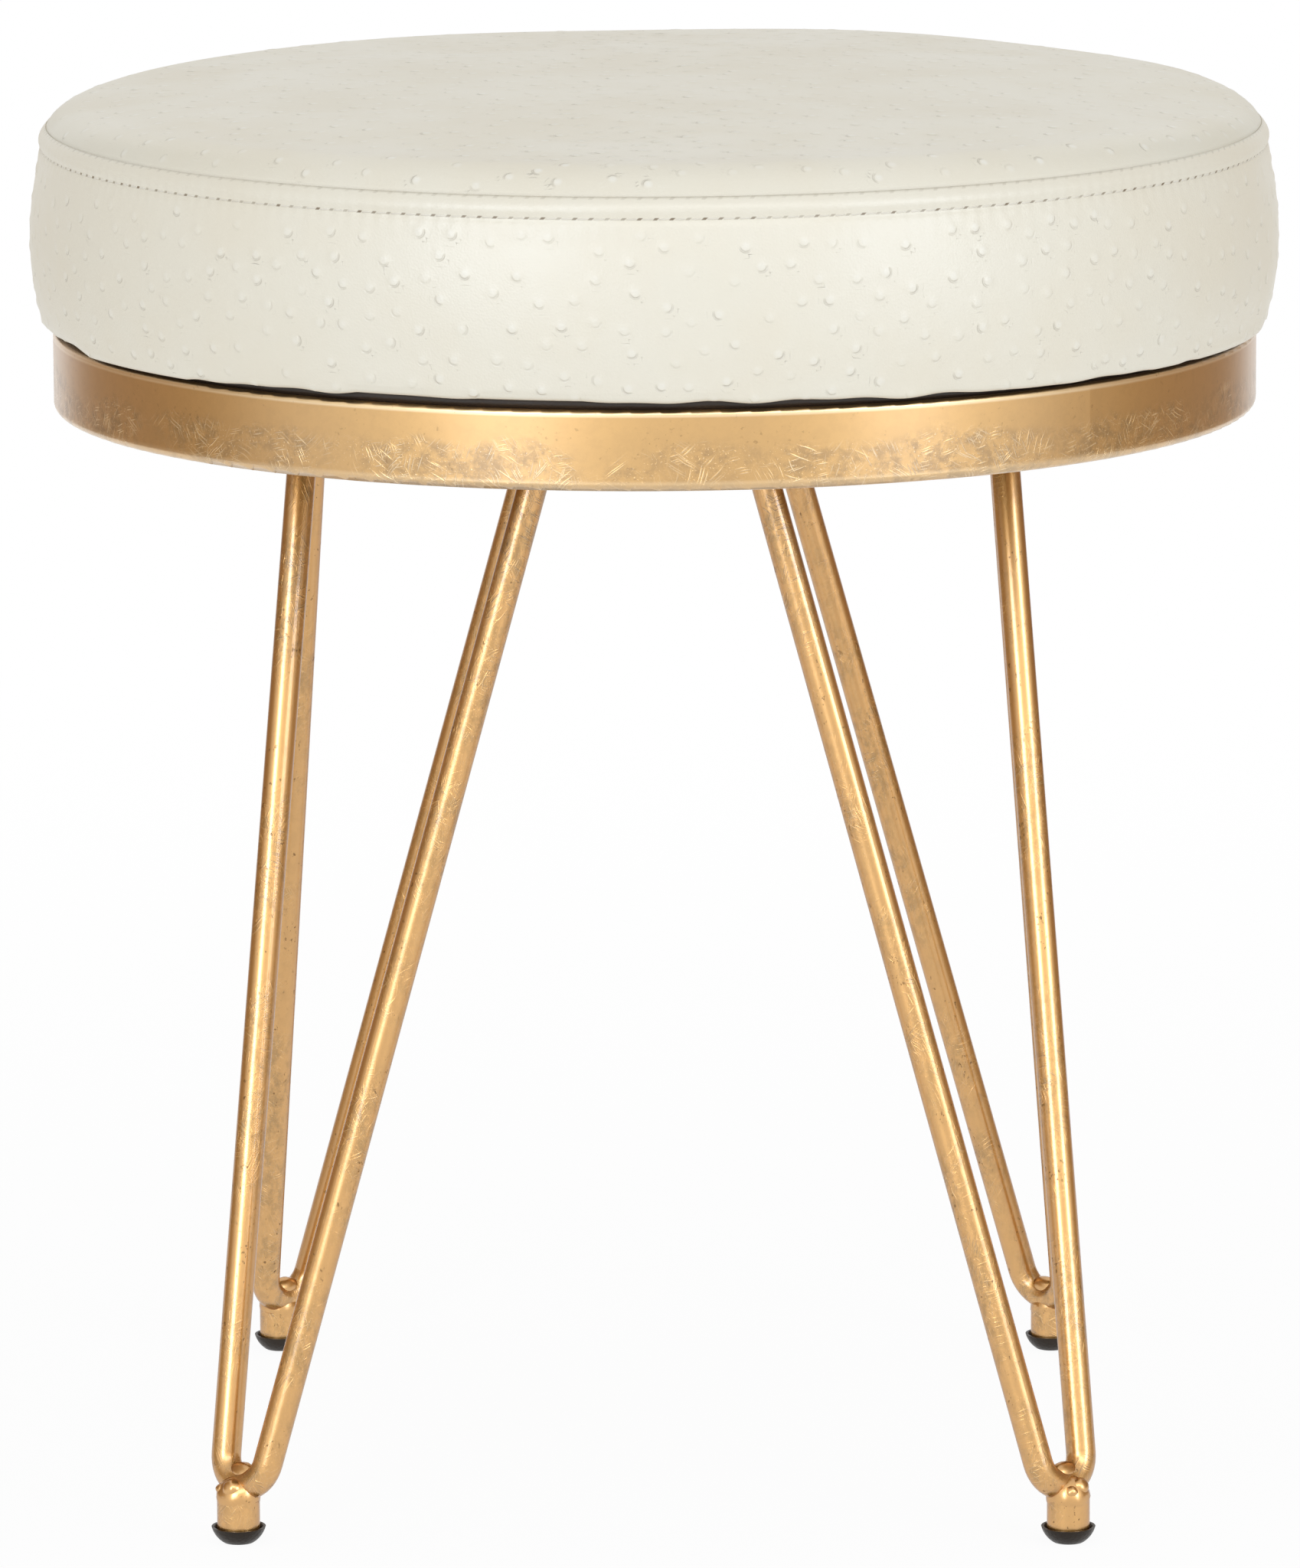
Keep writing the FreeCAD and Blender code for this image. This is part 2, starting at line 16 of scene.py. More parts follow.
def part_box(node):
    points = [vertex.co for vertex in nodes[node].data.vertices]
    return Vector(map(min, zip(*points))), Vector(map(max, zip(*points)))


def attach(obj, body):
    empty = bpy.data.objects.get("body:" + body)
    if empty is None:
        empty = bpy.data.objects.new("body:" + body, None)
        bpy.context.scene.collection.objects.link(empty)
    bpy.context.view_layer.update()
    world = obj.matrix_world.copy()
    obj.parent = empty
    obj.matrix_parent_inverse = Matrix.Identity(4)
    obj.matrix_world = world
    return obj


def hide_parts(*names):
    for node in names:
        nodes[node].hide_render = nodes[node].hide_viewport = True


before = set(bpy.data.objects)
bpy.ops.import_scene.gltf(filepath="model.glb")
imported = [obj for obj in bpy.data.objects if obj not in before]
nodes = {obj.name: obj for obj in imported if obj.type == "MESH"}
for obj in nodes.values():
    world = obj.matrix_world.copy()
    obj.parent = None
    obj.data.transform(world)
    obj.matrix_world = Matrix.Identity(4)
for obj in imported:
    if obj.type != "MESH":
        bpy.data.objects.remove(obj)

MM = 0.001
scene = bpy.context.scene
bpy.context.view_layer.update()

# %% [markdown]
# ## Sizes
# The outline of the cushion runs through a few corners: the crown, the shoulder, the seam, the
# topstitch, the bottom corner and the hem. Those that the frame shows are measured on its boxes,
# so the leather always sits where the CAD cushion is, and the rest are the maker's own sizes, in
# millimetres.

# %% Corners of the cushion
LEATHER = 1.2
LINING = 3.6
SIDE_BULGE = 3.6
ROLL_HEIGHT = 7.0
ROLL_ROUND = 8.0
HEM_ROUND = 4.1
HEM_WIDTH = 16.0
HEM_LIFT = 2.1
HEM_STEP = 2.4
SHOULDER_WIDTH = 14.5
SHOULDER_HEIGHT = 9.7


def reach(node):
    """A round node's outer radius, lowest and highest point, in millimetres."""
    low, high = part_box(node)
    return high.x / MM, low.z / MM, high.z / MM


ring_r, ring_low, ring_top = reach("apron_ring")
seam_r, seam_z, crown_z = reach("cover_top_panel")
widest_r = reach("cover_side_band")[0]
board_r, _, board_top = reach("seat_board")
side_r = widest_r - SIDE_BULGE
hem_r = side_r - HEM_ROUND
corner_z = ring_top + HEM_ROUND
stitch_z = seam_z - ROLL_HEIGHT
shoulder_r = seam_r - SHOULDER_WIDTH
shoulder_z = seam_z + SHOULDER_HEIGHT
print(f"ring {2 * ring_r:.1f} across, cushion {2 * widest_r:.1f} across, crown at {crown_z:.1f} mm")

# %% [markdown]
# ## The photograph's view
# A long lens far away keeps the ring almost a flat ellipse, as in a catalogue picture. The place
# of the camera was worked out from the ring's ellipse and the four glides, so it is given as a
# distance, a height and small turns instead of a point.

# %% Camera
CAMERA_DISTANCE = 3.606
CAMERA_HEIGHT = 0.8967
CAMERA_AZIMUTH = math.radians(45.92)
CAMERA_PITCH = math.radians(-10.44)
CAMERA_YAW = math.radians(0.036)
CAMERA_ROLL = math.radians(-0.26)
LENS = 244.8
SENSOR_WIDTH = 36.0
FARTHEST = 60.0


def add_object(name, data):
    """A new object in the scene."""
    made = bpy.data.objects.new(name, data)
    scene.collection.objects.link(made)
    return made


def towards(azimuth, distance, height):
    """A place seen from the bench at some degrees to the right of the camera, in metres."""
    turn = CAMERA_AZIMUTH + math.radians(azimuth)
    return Vector((math.sin(turn) * distance, -math.cos(turn) * distance, height))


def make_camera():
    """The camera, looking level at the axis and then turned, tipped and rolled."""
    data = bpy.data.cameras.new("photo_view")
    data.lens = LENS
    data.sensor_width = SENSOR_WIDTH
    data.clip_end = FARTHEST
    camera = add_object("photo_view", data)
    level = Matrix.Rotation(CAMERA_AZIMUTH + CAMERA_YAW, 4, "Z") @ Matrix.Rotation(math.pi / 2, 4, "X")
    tipped = level @ Matrix.Rotation(CAMERA_PITCH, 4, "X") @ Matrix.Rotation(CAMERA_ROLL, 4, "Z")
    camera.matrix_world = Matrix.Translation(towards(0, CAMERA_DISTANCE, CAMERA_HEIGHT)) @ tipped
    scene.camera = camera
    return camera


camera = make_camera()
print("camera at", [round(value, 3) for value in camera.matrix_world.translation])

# %% [markdown]
# ## Node helpers
# Every finish is a small web of nodes. One helper feeds an input, by a link or with a plain value.
# The others use it to make one kind of node in one line, so that a finish reads as a list of steps
# from the place on the object to the inputs of its shader.

# %% Helpers for node trees
MIX_SOCKETS = {"VECTOR": (0, 4, 5), "RGBA": (0, 6, 7)}
MIX_RESULT = {"VECTOR": 1, "RGBA": 2}


def feed(tree, socket, value):
    """Link an output to an input, or set the input to a plain value."""
    if hasattr(value, "is_linked"):
        tree.links.new(value, socket)
    else:
        socket.default_value = value


def feed_named(tree, node, **inputs):
    """Feed a node's inputs by name, with _ for a space."""
    for name, value in inputs.items():
        feed(tree, node.inputs[name.replace("_", " ")], value)


def add_node(tree, kind, settings=None, ordered=(), **inputs):
    """A node of a kind with its settings, its first inputs in order and others by name."""
    made = tree.nodes.new(kind)
    for name, value in (settings or {}).items():
        setattr(made, name, value)
    for socket, value in zip(made.inputs, ordered):
        feed(tree, socket, value)
    feed_named(tree, made, **inputs)
    return made


def maths(tree, operation, *values, clamp=False):
    """The result of a Math node; numbers and other nodes' outputs can be mixed."""
    settings = {"operation": operation, "use_clamp": clamp}
    return add_node(tree, "ShaderNodeMath", settings, values).outputs[0]


def times(tree, first, second):
    """One value times another."""
    return maths(tree, "MULTIPLY", first, second)


def times_plus(tree, value, factor, extra):
    """A value times a factor, plus an extra."""
    return maths(tree, "MULTIPLY_ADD", value, factor, extra)


def flat_length(tree, first, second):
    """The length of a flat vector with two known sides."""
    return maths(tree, "SQRT", times_plus(tree, first, first, times(tree, second, second)))


def step(tree, value, low, high):
    """A smooth 0 to 1 as a value goes from low to high."""
    settings = {"interpolation_type": "SMOOTHSTEP"}
    made = add_node(tree, "ShaderNodeMapRange", settings, Value=value, From_Min=low, From_Max=high)
    return made.outputs["Result"]


def blend(tree, amount, first, second, kind="RGBA"):
    """One colour, or VECTOR, over another by an amount."""
    made = add_node(tree, "ShaderNodeMix", {"data_type": kind})
    for index, value in zip(MIX_SOCKETS[kind], (amount, first, second)):
        feed(tree, made.inputs[index], value)
    return made.outputs[MIX_RESULT[kind]]


def texture(tree, kind, where, scale, settings=None, **inputs):
    """The outputs of a texture read at a place."""
    return add_node(tree, f"ShaderNodeTex{kind}", settings, Vector=where, Scale=scale, **inputs).outputs


def clouds(tree, where, waves, detail, roughness=0.5):
    """Cloudy noise read at a place, with some waves to a metre, mostly near a half."""
    return texture(tree, "Noise", where, waves, Detail=detail, Roughness=roughness)["Fac"]


def mapped(tree, place, **change):
    """A place that is moved, turned or scaled."""
    return add_node(tree, "ShaderNodeMapping", Vector=place, **change).outputs[0]


def parts(tree, vector):
    """The three parts of a vector."""
    return tuple(add_node(tree, "ShaderNodeSeparateXYZ", Vector=vector).outputs)


def joined(tree, x, y, z=0.0):
    """A vector from its three parts."""
    return add_node(tree, "ShaderNodeCombineXYZ", X=x, Y=y, Z=z).outputs[0]


def object_place(tree):
    """The point on the object, in metres."""
    return add_node(tree, "ShaderNodeTexCoord").outputs["Object"]


def use_group(tree, group, **inputs):
    """The outputs of a node group that is placed in a tree."""
    return add_node(tree, "ShaderNodeGroup", {"node_tree": group}, **inputs).outputs


def relief(tree, height, depth, normal=None):
    """The normal of a fine relief; the depth is in metres."""
    made = add_node(tree, "ShaderNodeBump", Height=height, Distance=depth)
    if normal is not None:
        feed(tree, made.inputs["Normal"], normal)
    return made.outputs["Normal"]


def new_material(name, **inputs):
    """A material with its Principled shader, and the shader's plain values."""
    material = bpy.data.materials.new(name)
    material.use_nodes = True
    tree = material.node_tree
    shader = tree.nodes["Principled BSDF"]
    feed_named(tree, shader, **inputs)
    return material, tree, shader


def start_group(name, results, **values):
    """An empty node group: a place and some values go in, and named results come out."""
    group = bpy.data.node_groups.new(name, "ShaderNodeTree")
    group.interface.new_socket(name="Place", in_out="INPUT", socket_type="NodeSocketVector")
    for key, value in values.items():
        socket = group.interface.new_socket(
            name=key.replace("_", " "), in_out="INPUT", socket_type="NodeSocketFloat")
        socket.default_value = value
    for result in results:
        group.interface.new_socket(name=result, in_out="OUTPUT", socket_type="NodeSocketFloat")
    return group, add_node(group, "NodeGroupInput").outputs, add_node(group, "NodeGroupOutput")


def colour(red, green, blue):
    """A plain colour with full cover."""
    return (red, green, blue, 1.0)


print("node helpers ready")

# %% [markdown]
# ## Gold leaf
# The leaf is laid by hand in thin squares over the primed steel. It wrinkles where it is pressed
# down, so fine creases gather in clusters, with duller olive patches between them and dark specks
# where the leaf is broken. The creases are relief, and their colour is a painted highlight, with
# small painted glints among them. The ring and the rods share this, so it is one node group with
# a place going in and masks coming out. Each metal piece then mixes its own amounts. An EDGE is the
# range of values over which a mask sets in, and a SPREAD is a factor and the least that is left.

# %% Gold leaf group
LEAF_STROKES = ((-44, 55, 1000), (-72, 70, 1150), (31, 60, 1050), (66, 90, 1250), (-12, 110, 1250))
LEAF_SWAY = (0.006, 0.006, 0.006)
NEEDLE_EDGE = (0.3, 0.06)
NEEDLE_CHANCE = (0.5, 0.8)
STROKE_EDGE = (0.42, 0.6)
CLUSTER_EDGE = (1.3, 1.56)
ZONE_SHARE = 0.4
GLINT_EDGE = (0.62, 0.74)
GLINT_SHARE = 0.7
DULL_EDGE = (0.4, 0.64)
DULL_SPREAD = (0.85, 0.15)
RELIEF_SPREAD = (0.5, 0.12)
SPECK_EDGE = (0.61, 0.69)
SPECKLED_EDGE = (0.5, 0.64)


def strokes(group, place, turn, lengthwise, crosswise):
    """Thin strokes at one angle: long narrow cells, of which some hold a needle of light."""
    drawn = mapped(group, mapped(group, place, Rotation=(0, 0, turn)), Scale=(lengthwise, crosswise, 1.0))
    cells = texture(group, "Voronoi", drawn, 1.0, {"voronoi_dimensions": "2D"})
    chance = add_node(group, "ShaderNodeSeparateColor", Color=cells["Color"]).outputs["Red"]
    needle = times(group, step(group, cells["Distance"], *NEEDLE_EDGE), step(group, chance, *NEEDLE_CHANCE))
    moved = mapped(group, place, Location=(turn, 2 * turn, 0))
    patchy = clouds(group, moved, waves=55.0, detail=2.0)
    return times(group, needle, step(group, patchy, *STROKE_EDGE))


def make_leaf_group():
    """Creases with painted highlights and glints, dull patches and dark specks of hand-laid leaf; places
    are in metres.
    """
    results = ("Crease", "Patch", "Speck", "Height")
    group, entry, leave = start_group("leaf_wrinkles", results, Zone=1.0, Gathering=0.5)
    place = entry["Place"]
    sway = texture(group, "Noise", place, 45.0, Detail=2.0)["Color"]
    bend = {"operation": "MULTIPLY_ADD"}
    bent = add_node(group, "ShaderNodeVectorMath", bend, (sway, LEAF_SWAY, place)).outputs[0]
    lines = 0.0
    for turn, lengthwise, crosswise in LEAF_STROKES:
        others = strokes(group, bent, math.radians(turn), lengthwise, crosswise)
        lines = maths(group, "MAXIMUM", lines, others)
    cluster = clouds(group, place, waves=26.0, detail=3.0, roughness=0.55)
    cluster = times_plus(group, entry["Zone"], ZONE_SHARE, cluster)
    gathered = step(group, maths(group, "ADD", cluster, entry["Gathering"]), *CLUSTER_EDGE)
    # Painted glints: small bright spots that join the creases' painted highlight.
    glint = step(group, clouds(group, place, waves=1300.0, detail=1.0), *GLINT_EDGE)
    bright = maths(group, "MULTIPLY_ADD", glint, GLINT_SHARE, lines, clamp=True)
    crease_glint = times(group, bright, gathered)
    dull = clouds(group, bent, waves=190.0, detail=5.0, roughness=0.7)
    patch = times(group, step(group, dull, *DULL_EDGE), times_plus(group, gathered, *DULL_SPREAD))
    dots = step(group, clouds(group, place, waves=620.0, detail=2.0), *SPECK_EDGE)
    speckled = step(group, clouds(group, place, waves=90.0, detail=2.0), *SPECKLED_EDGE)
    speck = times(group, dots, speckled)
    height = times_plus(group, dull, times_plus(group, gathered, *RELIEF_SPREAD), crease_glint)
    feed_named(group, leave, Crease=crease_glint, Patch=patch, Speck=speck, Height=height)
    return group


leaf_group = make_leaf_group()
print("gold leaf group with", len(leaf_group.nodes), "nodes")

# %% [markdown]
# ## Gold finishes
# The ring's face is laid out flat for the leaf, and its wrinkles gather in the lower part, as on
# the real one. Its two round outer edges are worked out again in the finish, because their facets
# would show in the polished lacquer. A thin line under its top edge and a strip along its foot
# are painted in a highlight colour: painted highlights of the light on those rounded edges.

# %% Gold of the ring, the rods and the beads
GOLD = colour(0.64, 0.36, 0.095)
ROD_GOLD = colour(0.72, 0.385, 0.11)
# The painted highlight colour of the creases and of the ring's edges.
PAINTED_GOLD_HIGHLIGHT = colour(0.94, 0.72, 0.42)
GOLD_DULL = colour(0.36, 0.20, 0.05)
GOLD_BARE = colour(0.10, 0.05, 0.02)
LACQUER_IOR = 2.0
THIN_LACQUER_IOR = 1.8
RING_RIM = colour(1, 1, 1)
ROD_RIM = colour(0.4, 0.26, 0.15)
ZONE_DULL = 0.14
PATCH_ROUGH = 0.1
CREASE_SMOOTH = 0.1
COAT_LOSS = 0.9
RING_TOP_ROUND = 1.5
RING_LOW_ROUND = 2.6
ROUND_EDGE = (0.0, 0.02 * MM)
WRINKLED = ((ring_top - 4) * MM, (ring_low + 11) * MM)
# Places and amounts of the painted highlight under the ring's top edge and along its foot.
TOP_HIGHLIGHT_DEPTH = 1.3
TOP_HIGHLIGHT_EDGE = (1.2 * MM, 0.3 * MM)
TOP_HIGHLIGHT_SHARE = 0.8
FOOT_HIGHLIGHT_EDGE = ((ring_low + 4) * MM, (ring_low + 2.5) * MM)
FOOT_HIGHLIGHT_SHARE = 0.3


def leaf_material(
        name, place_of, base, coat, rim,
        gathering, crease_glint, patch, speck, roughness, lacquer, depth):
    """Lacquered gold leaf with its own amounts of creases in painted highlight, dull patches and specks."""
    material, tree, shader = new_material(
        name, Metallic=1.0, Specular_Tint=rim, Coat_IOR=coat, Coat_Roughness=lacquer)
    place, zone, edge_highlight, normal = place_of(tree)
    leaf = use_group(tree, leaf_group, Place=place, Zone=zone, Gathering=gathering)
    worn = times(tree, leaf["Speck"], speck)
    dulled = times_plus(tree, leaf["Patch"], patch, times(tree, zone, ZONE_DULL))
    tone = blend(tree, dulled, base, GOLD_DULL)
    # Painted highlight: the creases are painted in the highlight colour.
    tone = blend(tree, times(tree, leaf["Crease"], crease_glint), tone, PAINTED_GOLD_HIGHLIGHT)
    # Painted highlight on the ring's edges; the rods give none.
    tone = blend(tree, edge_highlight, tone, PAINTED_GOLD_HIGHLIGHT)
    tone = blend(tree, worn, tone, GOLD_BARE)
    rough = times_plus(tree, leaf["Patch"], PATCH_ROUGH, roughness)
    rough = times_plus(tree, leaf["Crease"], -CREASE_SMOOTH, rough)
    feed_named(
        tree, shader, Base_Color=tone, Roughness=rough,
        Coat_Weight=times_plus(tree, worn, -COAT_LOSS, 1.0),
        Normal=relief(tree, leaf["Height"], depth, normal))
    return material


def round_normal(tree, place, normal, middle_z, radius, way):
    """The normal, made true on the ring's round outer edge that turns up (way 1) or down (way -1)."""
    x, y, z = parts(tree, place)
    away = flat_length(tree, x, y)
    out = maths(tree, "SUBTRACT", away, (ring_r - radius) * MM)
    over = times_plus(tree, z, way, -way * middle_z * MM)
    share = maths(tree, "DIVIDE", out, away)
    true_way = joined(tree, times(tree, x, share), times(tree, y, share), times(tree, over, way))
    settings = {"vector_type": "NORMAL", "convert_from": "OBJECT", "convert_to": "WORLD"}
    turned = add_node(tree, "ShaderNodeVectorTransform", settings, Vector=true_way).outputs[0]
    on_round = step(tree, maths(tree, "MINIMUM", out, over), *ROUND_EDGE)
    return blend(tree, on_round, normal, turned, "VECTOR")


def ring_place(tree):
    """The ring's face laid flat, its wrinkled lower part, its edges' painted highlight and its true normal.
    """
    place = object_place(tree)
    x, y, z = parts(tree, place)
    flat = joined(tree, times(tree, maths(tree, "ARCTAN2", y, x), ring_r * MM), z)
    # Painted highlight: a thin line under the ring's top edge, and a strip along its foot.
    from_line = maths(tree, "ABSOLUTE", maths(tree, "ADD", z, (TOP_HIGHLIGHT_DEPTH - ring_top) * MM))
    top_line_highlight = times(tree, step(tree, from_line, *TOP_HIGHLIGHT_EDGE), TOP_HIGHLIGHT_SHARE)
    edge_highlight = times_plus(tree, step(tree, z, *FOOT_HIGHLIGHT_EDGE), FOOT_HIGHLIGHT_SHARE, top_line_highlight)
    normal = add_node(tree, "ShaderNodeNewGeometry").outputs["Normal"]
    normal = round_normal(tree, place, normal, ring_top - RING_TOP_ROUND, RING_TOP_ROUND, 1)
    normal = round_normal(tree, place, normal, ring_low + RING_LOW_ROUND, RING_LOW_ROUND, -1)
    return flat, step(tree, z, *WRINKLED), edge_highlight, normal


def rod_place(tree):
    """The point on the rod, with the way along the leg first, and the same wrinkling all over."""
    x, y, z = parts(tree, object_place(tree))
    turned = joined(tree, z, maths(tree, "ADD", x, y), maths(tree, "SUBTRACT", x, y))
    return turned, 1.0, 0.0, None


ring_gold = leaf_material(
    "gold_leaf_ring", ring_place, GOLD, LACQUER_IOR, RING_RIM, gathering=0.6, crease_glint=0.65,
    patch=0.8, speck=0.3, roughness=0.38, lacquer=0.26, depth=0.08 * MM)
rod_gold = leaf_material(
    "gold_leaf_rods", rod_place, ROD_GOLD, THIN_LACQUER_IOR, ROD_RIM, gathering=0.52, crease_glint=0.3,
    patch=0.6, speck=0.7, roughness=0.35, lacquer=0.2, depth=0.12 * MM)
bead_gold = leaf_material(
    "gold_leaf_beads", rod_place, ROD_GOLD, THIN_LACQUER_IOR, ROD_RIM, gathering=0.4, crease_glint=0.2,
    patch=0.5, speck=0.7, roughness=0.34, lacquer=0.2, depth=0.06 * MM)
print("gold finishes:", ring_gold.name, rod_gold.name, bead_gold.name)

# %% [markdown]
# ## Leather, thread, plastic and the hidden parts
# The leather is an embossed one, with raised quill marks. Its fine grain is relief in the finish,
# but the quill domes are real bumps in the mesh. Each point of the mesh knows its place beside the
# nearest quill, and from that the finish paints a thin crescent of shade beside each dome, far more
# sharply than the mesh could, and a painted highlight on the dome. The needle holes of the topstitch
# and of the seam are painted dark as shade, drawn from the angle round the seat.


# %% Grain group
def make_grain_group():
    """Fine pebbled relief, and a slow change of tone, for leather, plastic and cloth."""
    group, entry, leave = start_group("pebble_grain", ("Height", "Tone"), Grains_per_metre=1500.0)
    place = entry["Place"]
    pebbles = {"feature": "SMOOTH_F1"}
    cells = texture(group, "Voronoi", place, entry["Grains per metre"], pebbles, Smoothness=0.6)
    height = maths(group, "SUBTRACT", 1.0, cells["Distance"])
    feed_named(group, leave, Height=height, Tone=clouds(group, place, waves=24.0, detail=3.0))
    return group


grain_group = make_grain_group()
print("grain group with", len(grain_group.nodes), "nodes")

# %% Leather finish
CREAM = colour(0.81, 0.765, 0.64)
CREAM_WARM = colour(0.80, 0.745, 0.61)
# Painted shade beside the quill domes, and the painted highlight on them.
QUILL_SHADE = colour(0.58, 0.53, 0.43)
QUILL_HIGHLIGHT = colour(0.87, 0.84, 0.745)
# Painted shade colour of the needle holes.
NEEDLE_HOLE_SHADE = colour(0.20, 0.145, 0.085)
# Painted shade colour of the gap under the hem.
HEM_GAP_SHADE = colour(0.03, 0.02, 0.014)
STITCH_COUNT = 250
STITCH_PITCH = 2 * math.pi * side_r / STITCH_COUNT
QUILL_RADIUS = 1.9
CRESCENT_LINE = (0.55, 0.05)
CRESCENT_SIDE = (0.1, 0.9)
DOME_TOP = 0.4
HOLE_SLANT = 0.9
HOLE_WIDTH = (1.0, 0.4)
HOLE_HEIGHT = (0.55, 0.25)
HOLE_SPREAD = (0.6, 0.4)
SEAM_HOLE_DROP = 0.5
SEAM_HOLE_SHARE = 0.2
GAP_SHADE_INSIDE = ((hem_r + HEM_LIFT) * MM, (hem_r + HEM_LIFT - 1) * MM)
GAP_SHADE_BELOW = ((corner_z - 0.5) * MM, (corner_z - 1.5) * MM)
LEATHER_SHINE = 0.45
LEATHER_GRAINS = 1300.0
LEATHER_DEPTH = 0.18 * MM
ROUGH_SPREAD = (0.18, 0.31)
WARM_EDGE = (0.35, 0.7)
GRAIN_RELIEF = 0.3
CRESCENT_RELIEF = -1.5


def quill_marks(tree):
    """The thin curve of painted shade beside each quill dome, and the dome for its painted highlight, from
    the mesh's own quill places.
    """
    beside = add_node(tree, "ShaderNodeAttribute", {"attribute_name": "beside_quill"})
    across, down, close = parts(tree, beside.outputs["Vector"])
    far = flat_length(tree, across, down)
    from_rim = maths(tree, "ABSOLUTE", maths(tree, "SUBTRACT", far, QUILL_RADIUS))
    side = maths(tree, "DIVIDE", down, maths(tree, "MAXIMUM", far, 0.1))
    crescent = times(tree, step(tree, from_rim, *CRESCENT_LINE), step(tree, side, *CRESCENT_SIDE))
    dome = step(tree, far, QUILL_RADIUS, DOME_TOP)
    return times(tree, crescent, close), times(tree, dome, close)


def needle_hole(tree, place, line_z):
    """1 in the slanted needle holes, one to a stitch along a sewn line at a height."""
    x, y, z = parts(tree, place)
    count = times(tree, maths(tree, "ARCTAN2", y, x), STITCH_COUNT / (2 * math.pi))
    along = times(tree, maths(tree, "SUBTRACT", maths(tree, "FRACT", count), 0.5), STITCH_PITCH)
    up = times_plus(tree, z, 1 / MM, -line_z)
    slant = maths(tree, "ABSOLUTE", times_plus(tree, up, -HOLE_SLANT, along))
    from_line = maths(tree, "ABSOLUTE", up)
    hole = times(tree, step(tree, slant, *HOLE_WIDTH), step(tree, from_line, *HOLE_HEIGHT))
    stitch = maths(tree, "FLOOR", count)
    uneven = add_node(tree, "ShaderNodeTexWhiteNoise", {"noise_dimensions": "1D"}, W=stitch)
    return times(tree, hole, times_plus(tree, uneven.outputs["Value"], *HOLE_SPREAD))


def hem_gap_shade(tree, place):
    """1 under the hem, in the gap just above the ring, which is painted dark as shade."""
    x, y, z = parts(tree, place)
    inside = step(tree, flat_length(tree, x, y), *GAP_SHADE_INSIDE)
    return times(tree, inside, step(tree, z, *GAP_SHADE_BELOW))


def make_leather(name, stitched, dome_highlight, dome_shade):
    """Cream embossed leather with painted shade and highlight at the quills; the side band also has painted
    shade in the needle holes and in the gap under the hem.
    """
    material, tree, shader = new_material(name, Specular_IOR_Level=LEATHER_SHINE)
    place = object_place(tree)
    grain = use_group(tree, grain_group, Place=place, Grains_per_metre=LEATHER_GRAINS)
    shade, dome = quill_marks(tree)
    tone = blend(tree, step(tree, grain["Tone"], *WARM_EDGE), CREAM, CREAM_WARM)
    # Painted highlight on each quill dome, and painted shade in the crescent beside it.
    tone = blend(tree, times(tree, dome, dome_highlight), tone, QUILL_HIGHLIGHT)
    tone = blend(tree, times(tree, shade, dome_shade), tone, QUILL_SHADE)
    if stitched:
        # Painted shade in the needle holes: faint along the seam, full along the topstitch.
        seam_hole_shade = times(tree, needle_hole(tree, place, seam_z - SEAM_HOLE_DROP), SEAM_HOLE_SHARE)
        tone = blend(tree, seam_hole_shade, tone, NEEDLE_HOLE_SHADE)
        tone = blend(tree, needle_hole(tree, place, stitch_z), tone, NEEDLE_HOLE_SHADE)
        # Painted shade in the gap under the hem, just above the ring.
        tone = blend(tree, hem_gap_shade(tree, place), tone, HEM_GAP_SHADE)
    height = times_plus(tree, shade, CRESCENT_RELIEF, times(tree, grain["Height"], GRAIN_RELIEF))
    feed_named(
        tree, shader, Base_Color=tone, Roughness=times_plus(tree, grain["Tone"], *ROUGH_SPREAD),
        Normal=relief(tree, height, LEATHER_DEPTH))
    return material


panel_leather = make_leather("cream_leather_top", False, dome_highlight=0.9, dome_shade=0.5)
band_leather = make_leather("cream_leather_side", True, dome_highlight=0.5, dome_shade=0.34)
print("leather finishes:", panel_leather.name, band_leather.name)


# %% Finishes of the small and hidden parts
DEEP_EDGE = (0.3, 0.75)
GRAIN_ROUGH = 0.12
PLY_SCALE = (6.0, 90.0, 700.0)
PLY_SPREAD = (0.2, 0.55)


def make_plain(name, base, deep, grains, roughness, depth, metal=0.0, shine=0.5):
    """A grained finish that wanders between two colours."""
    material, tree, shader = new_material(name, Metallic=metal, Specular_IOR_Level=shine)
    grain = use_group(tree, grain_group, Place=object_place(tree), Grains_per_metre=grains)
    feed_named(
        tree, shader, Base_Color=blend(tree, step(tree, grain["Tone"], *DEEP_EDGE), base, deep),
        Roughness=times_plus(tree, grain["Height"], GRAIN_ROUGH, roughness),
        Normal=relief(tree, grain["Height"], depth))
    return material


def make_plywood(name, base, deep, depth):
    """Raw plywood: long streaks of grain along one way of the sheet, with layers at the edge."""
    material, tree, shader = new_material(name)
    drawn = mapped(tree, object_place(tree), Scale=PLY_SCALE)
    streak = clouds(tree, drawn, waves=1.0, detail=6.0)
    feed_named(
        tree, shader, Base_Color=blend(tree, streak, base, deep),
        Roughness=times_plus(tree, streak, *PLY_SPREAD), Normal=relief(tree, streak, depth))
    return material


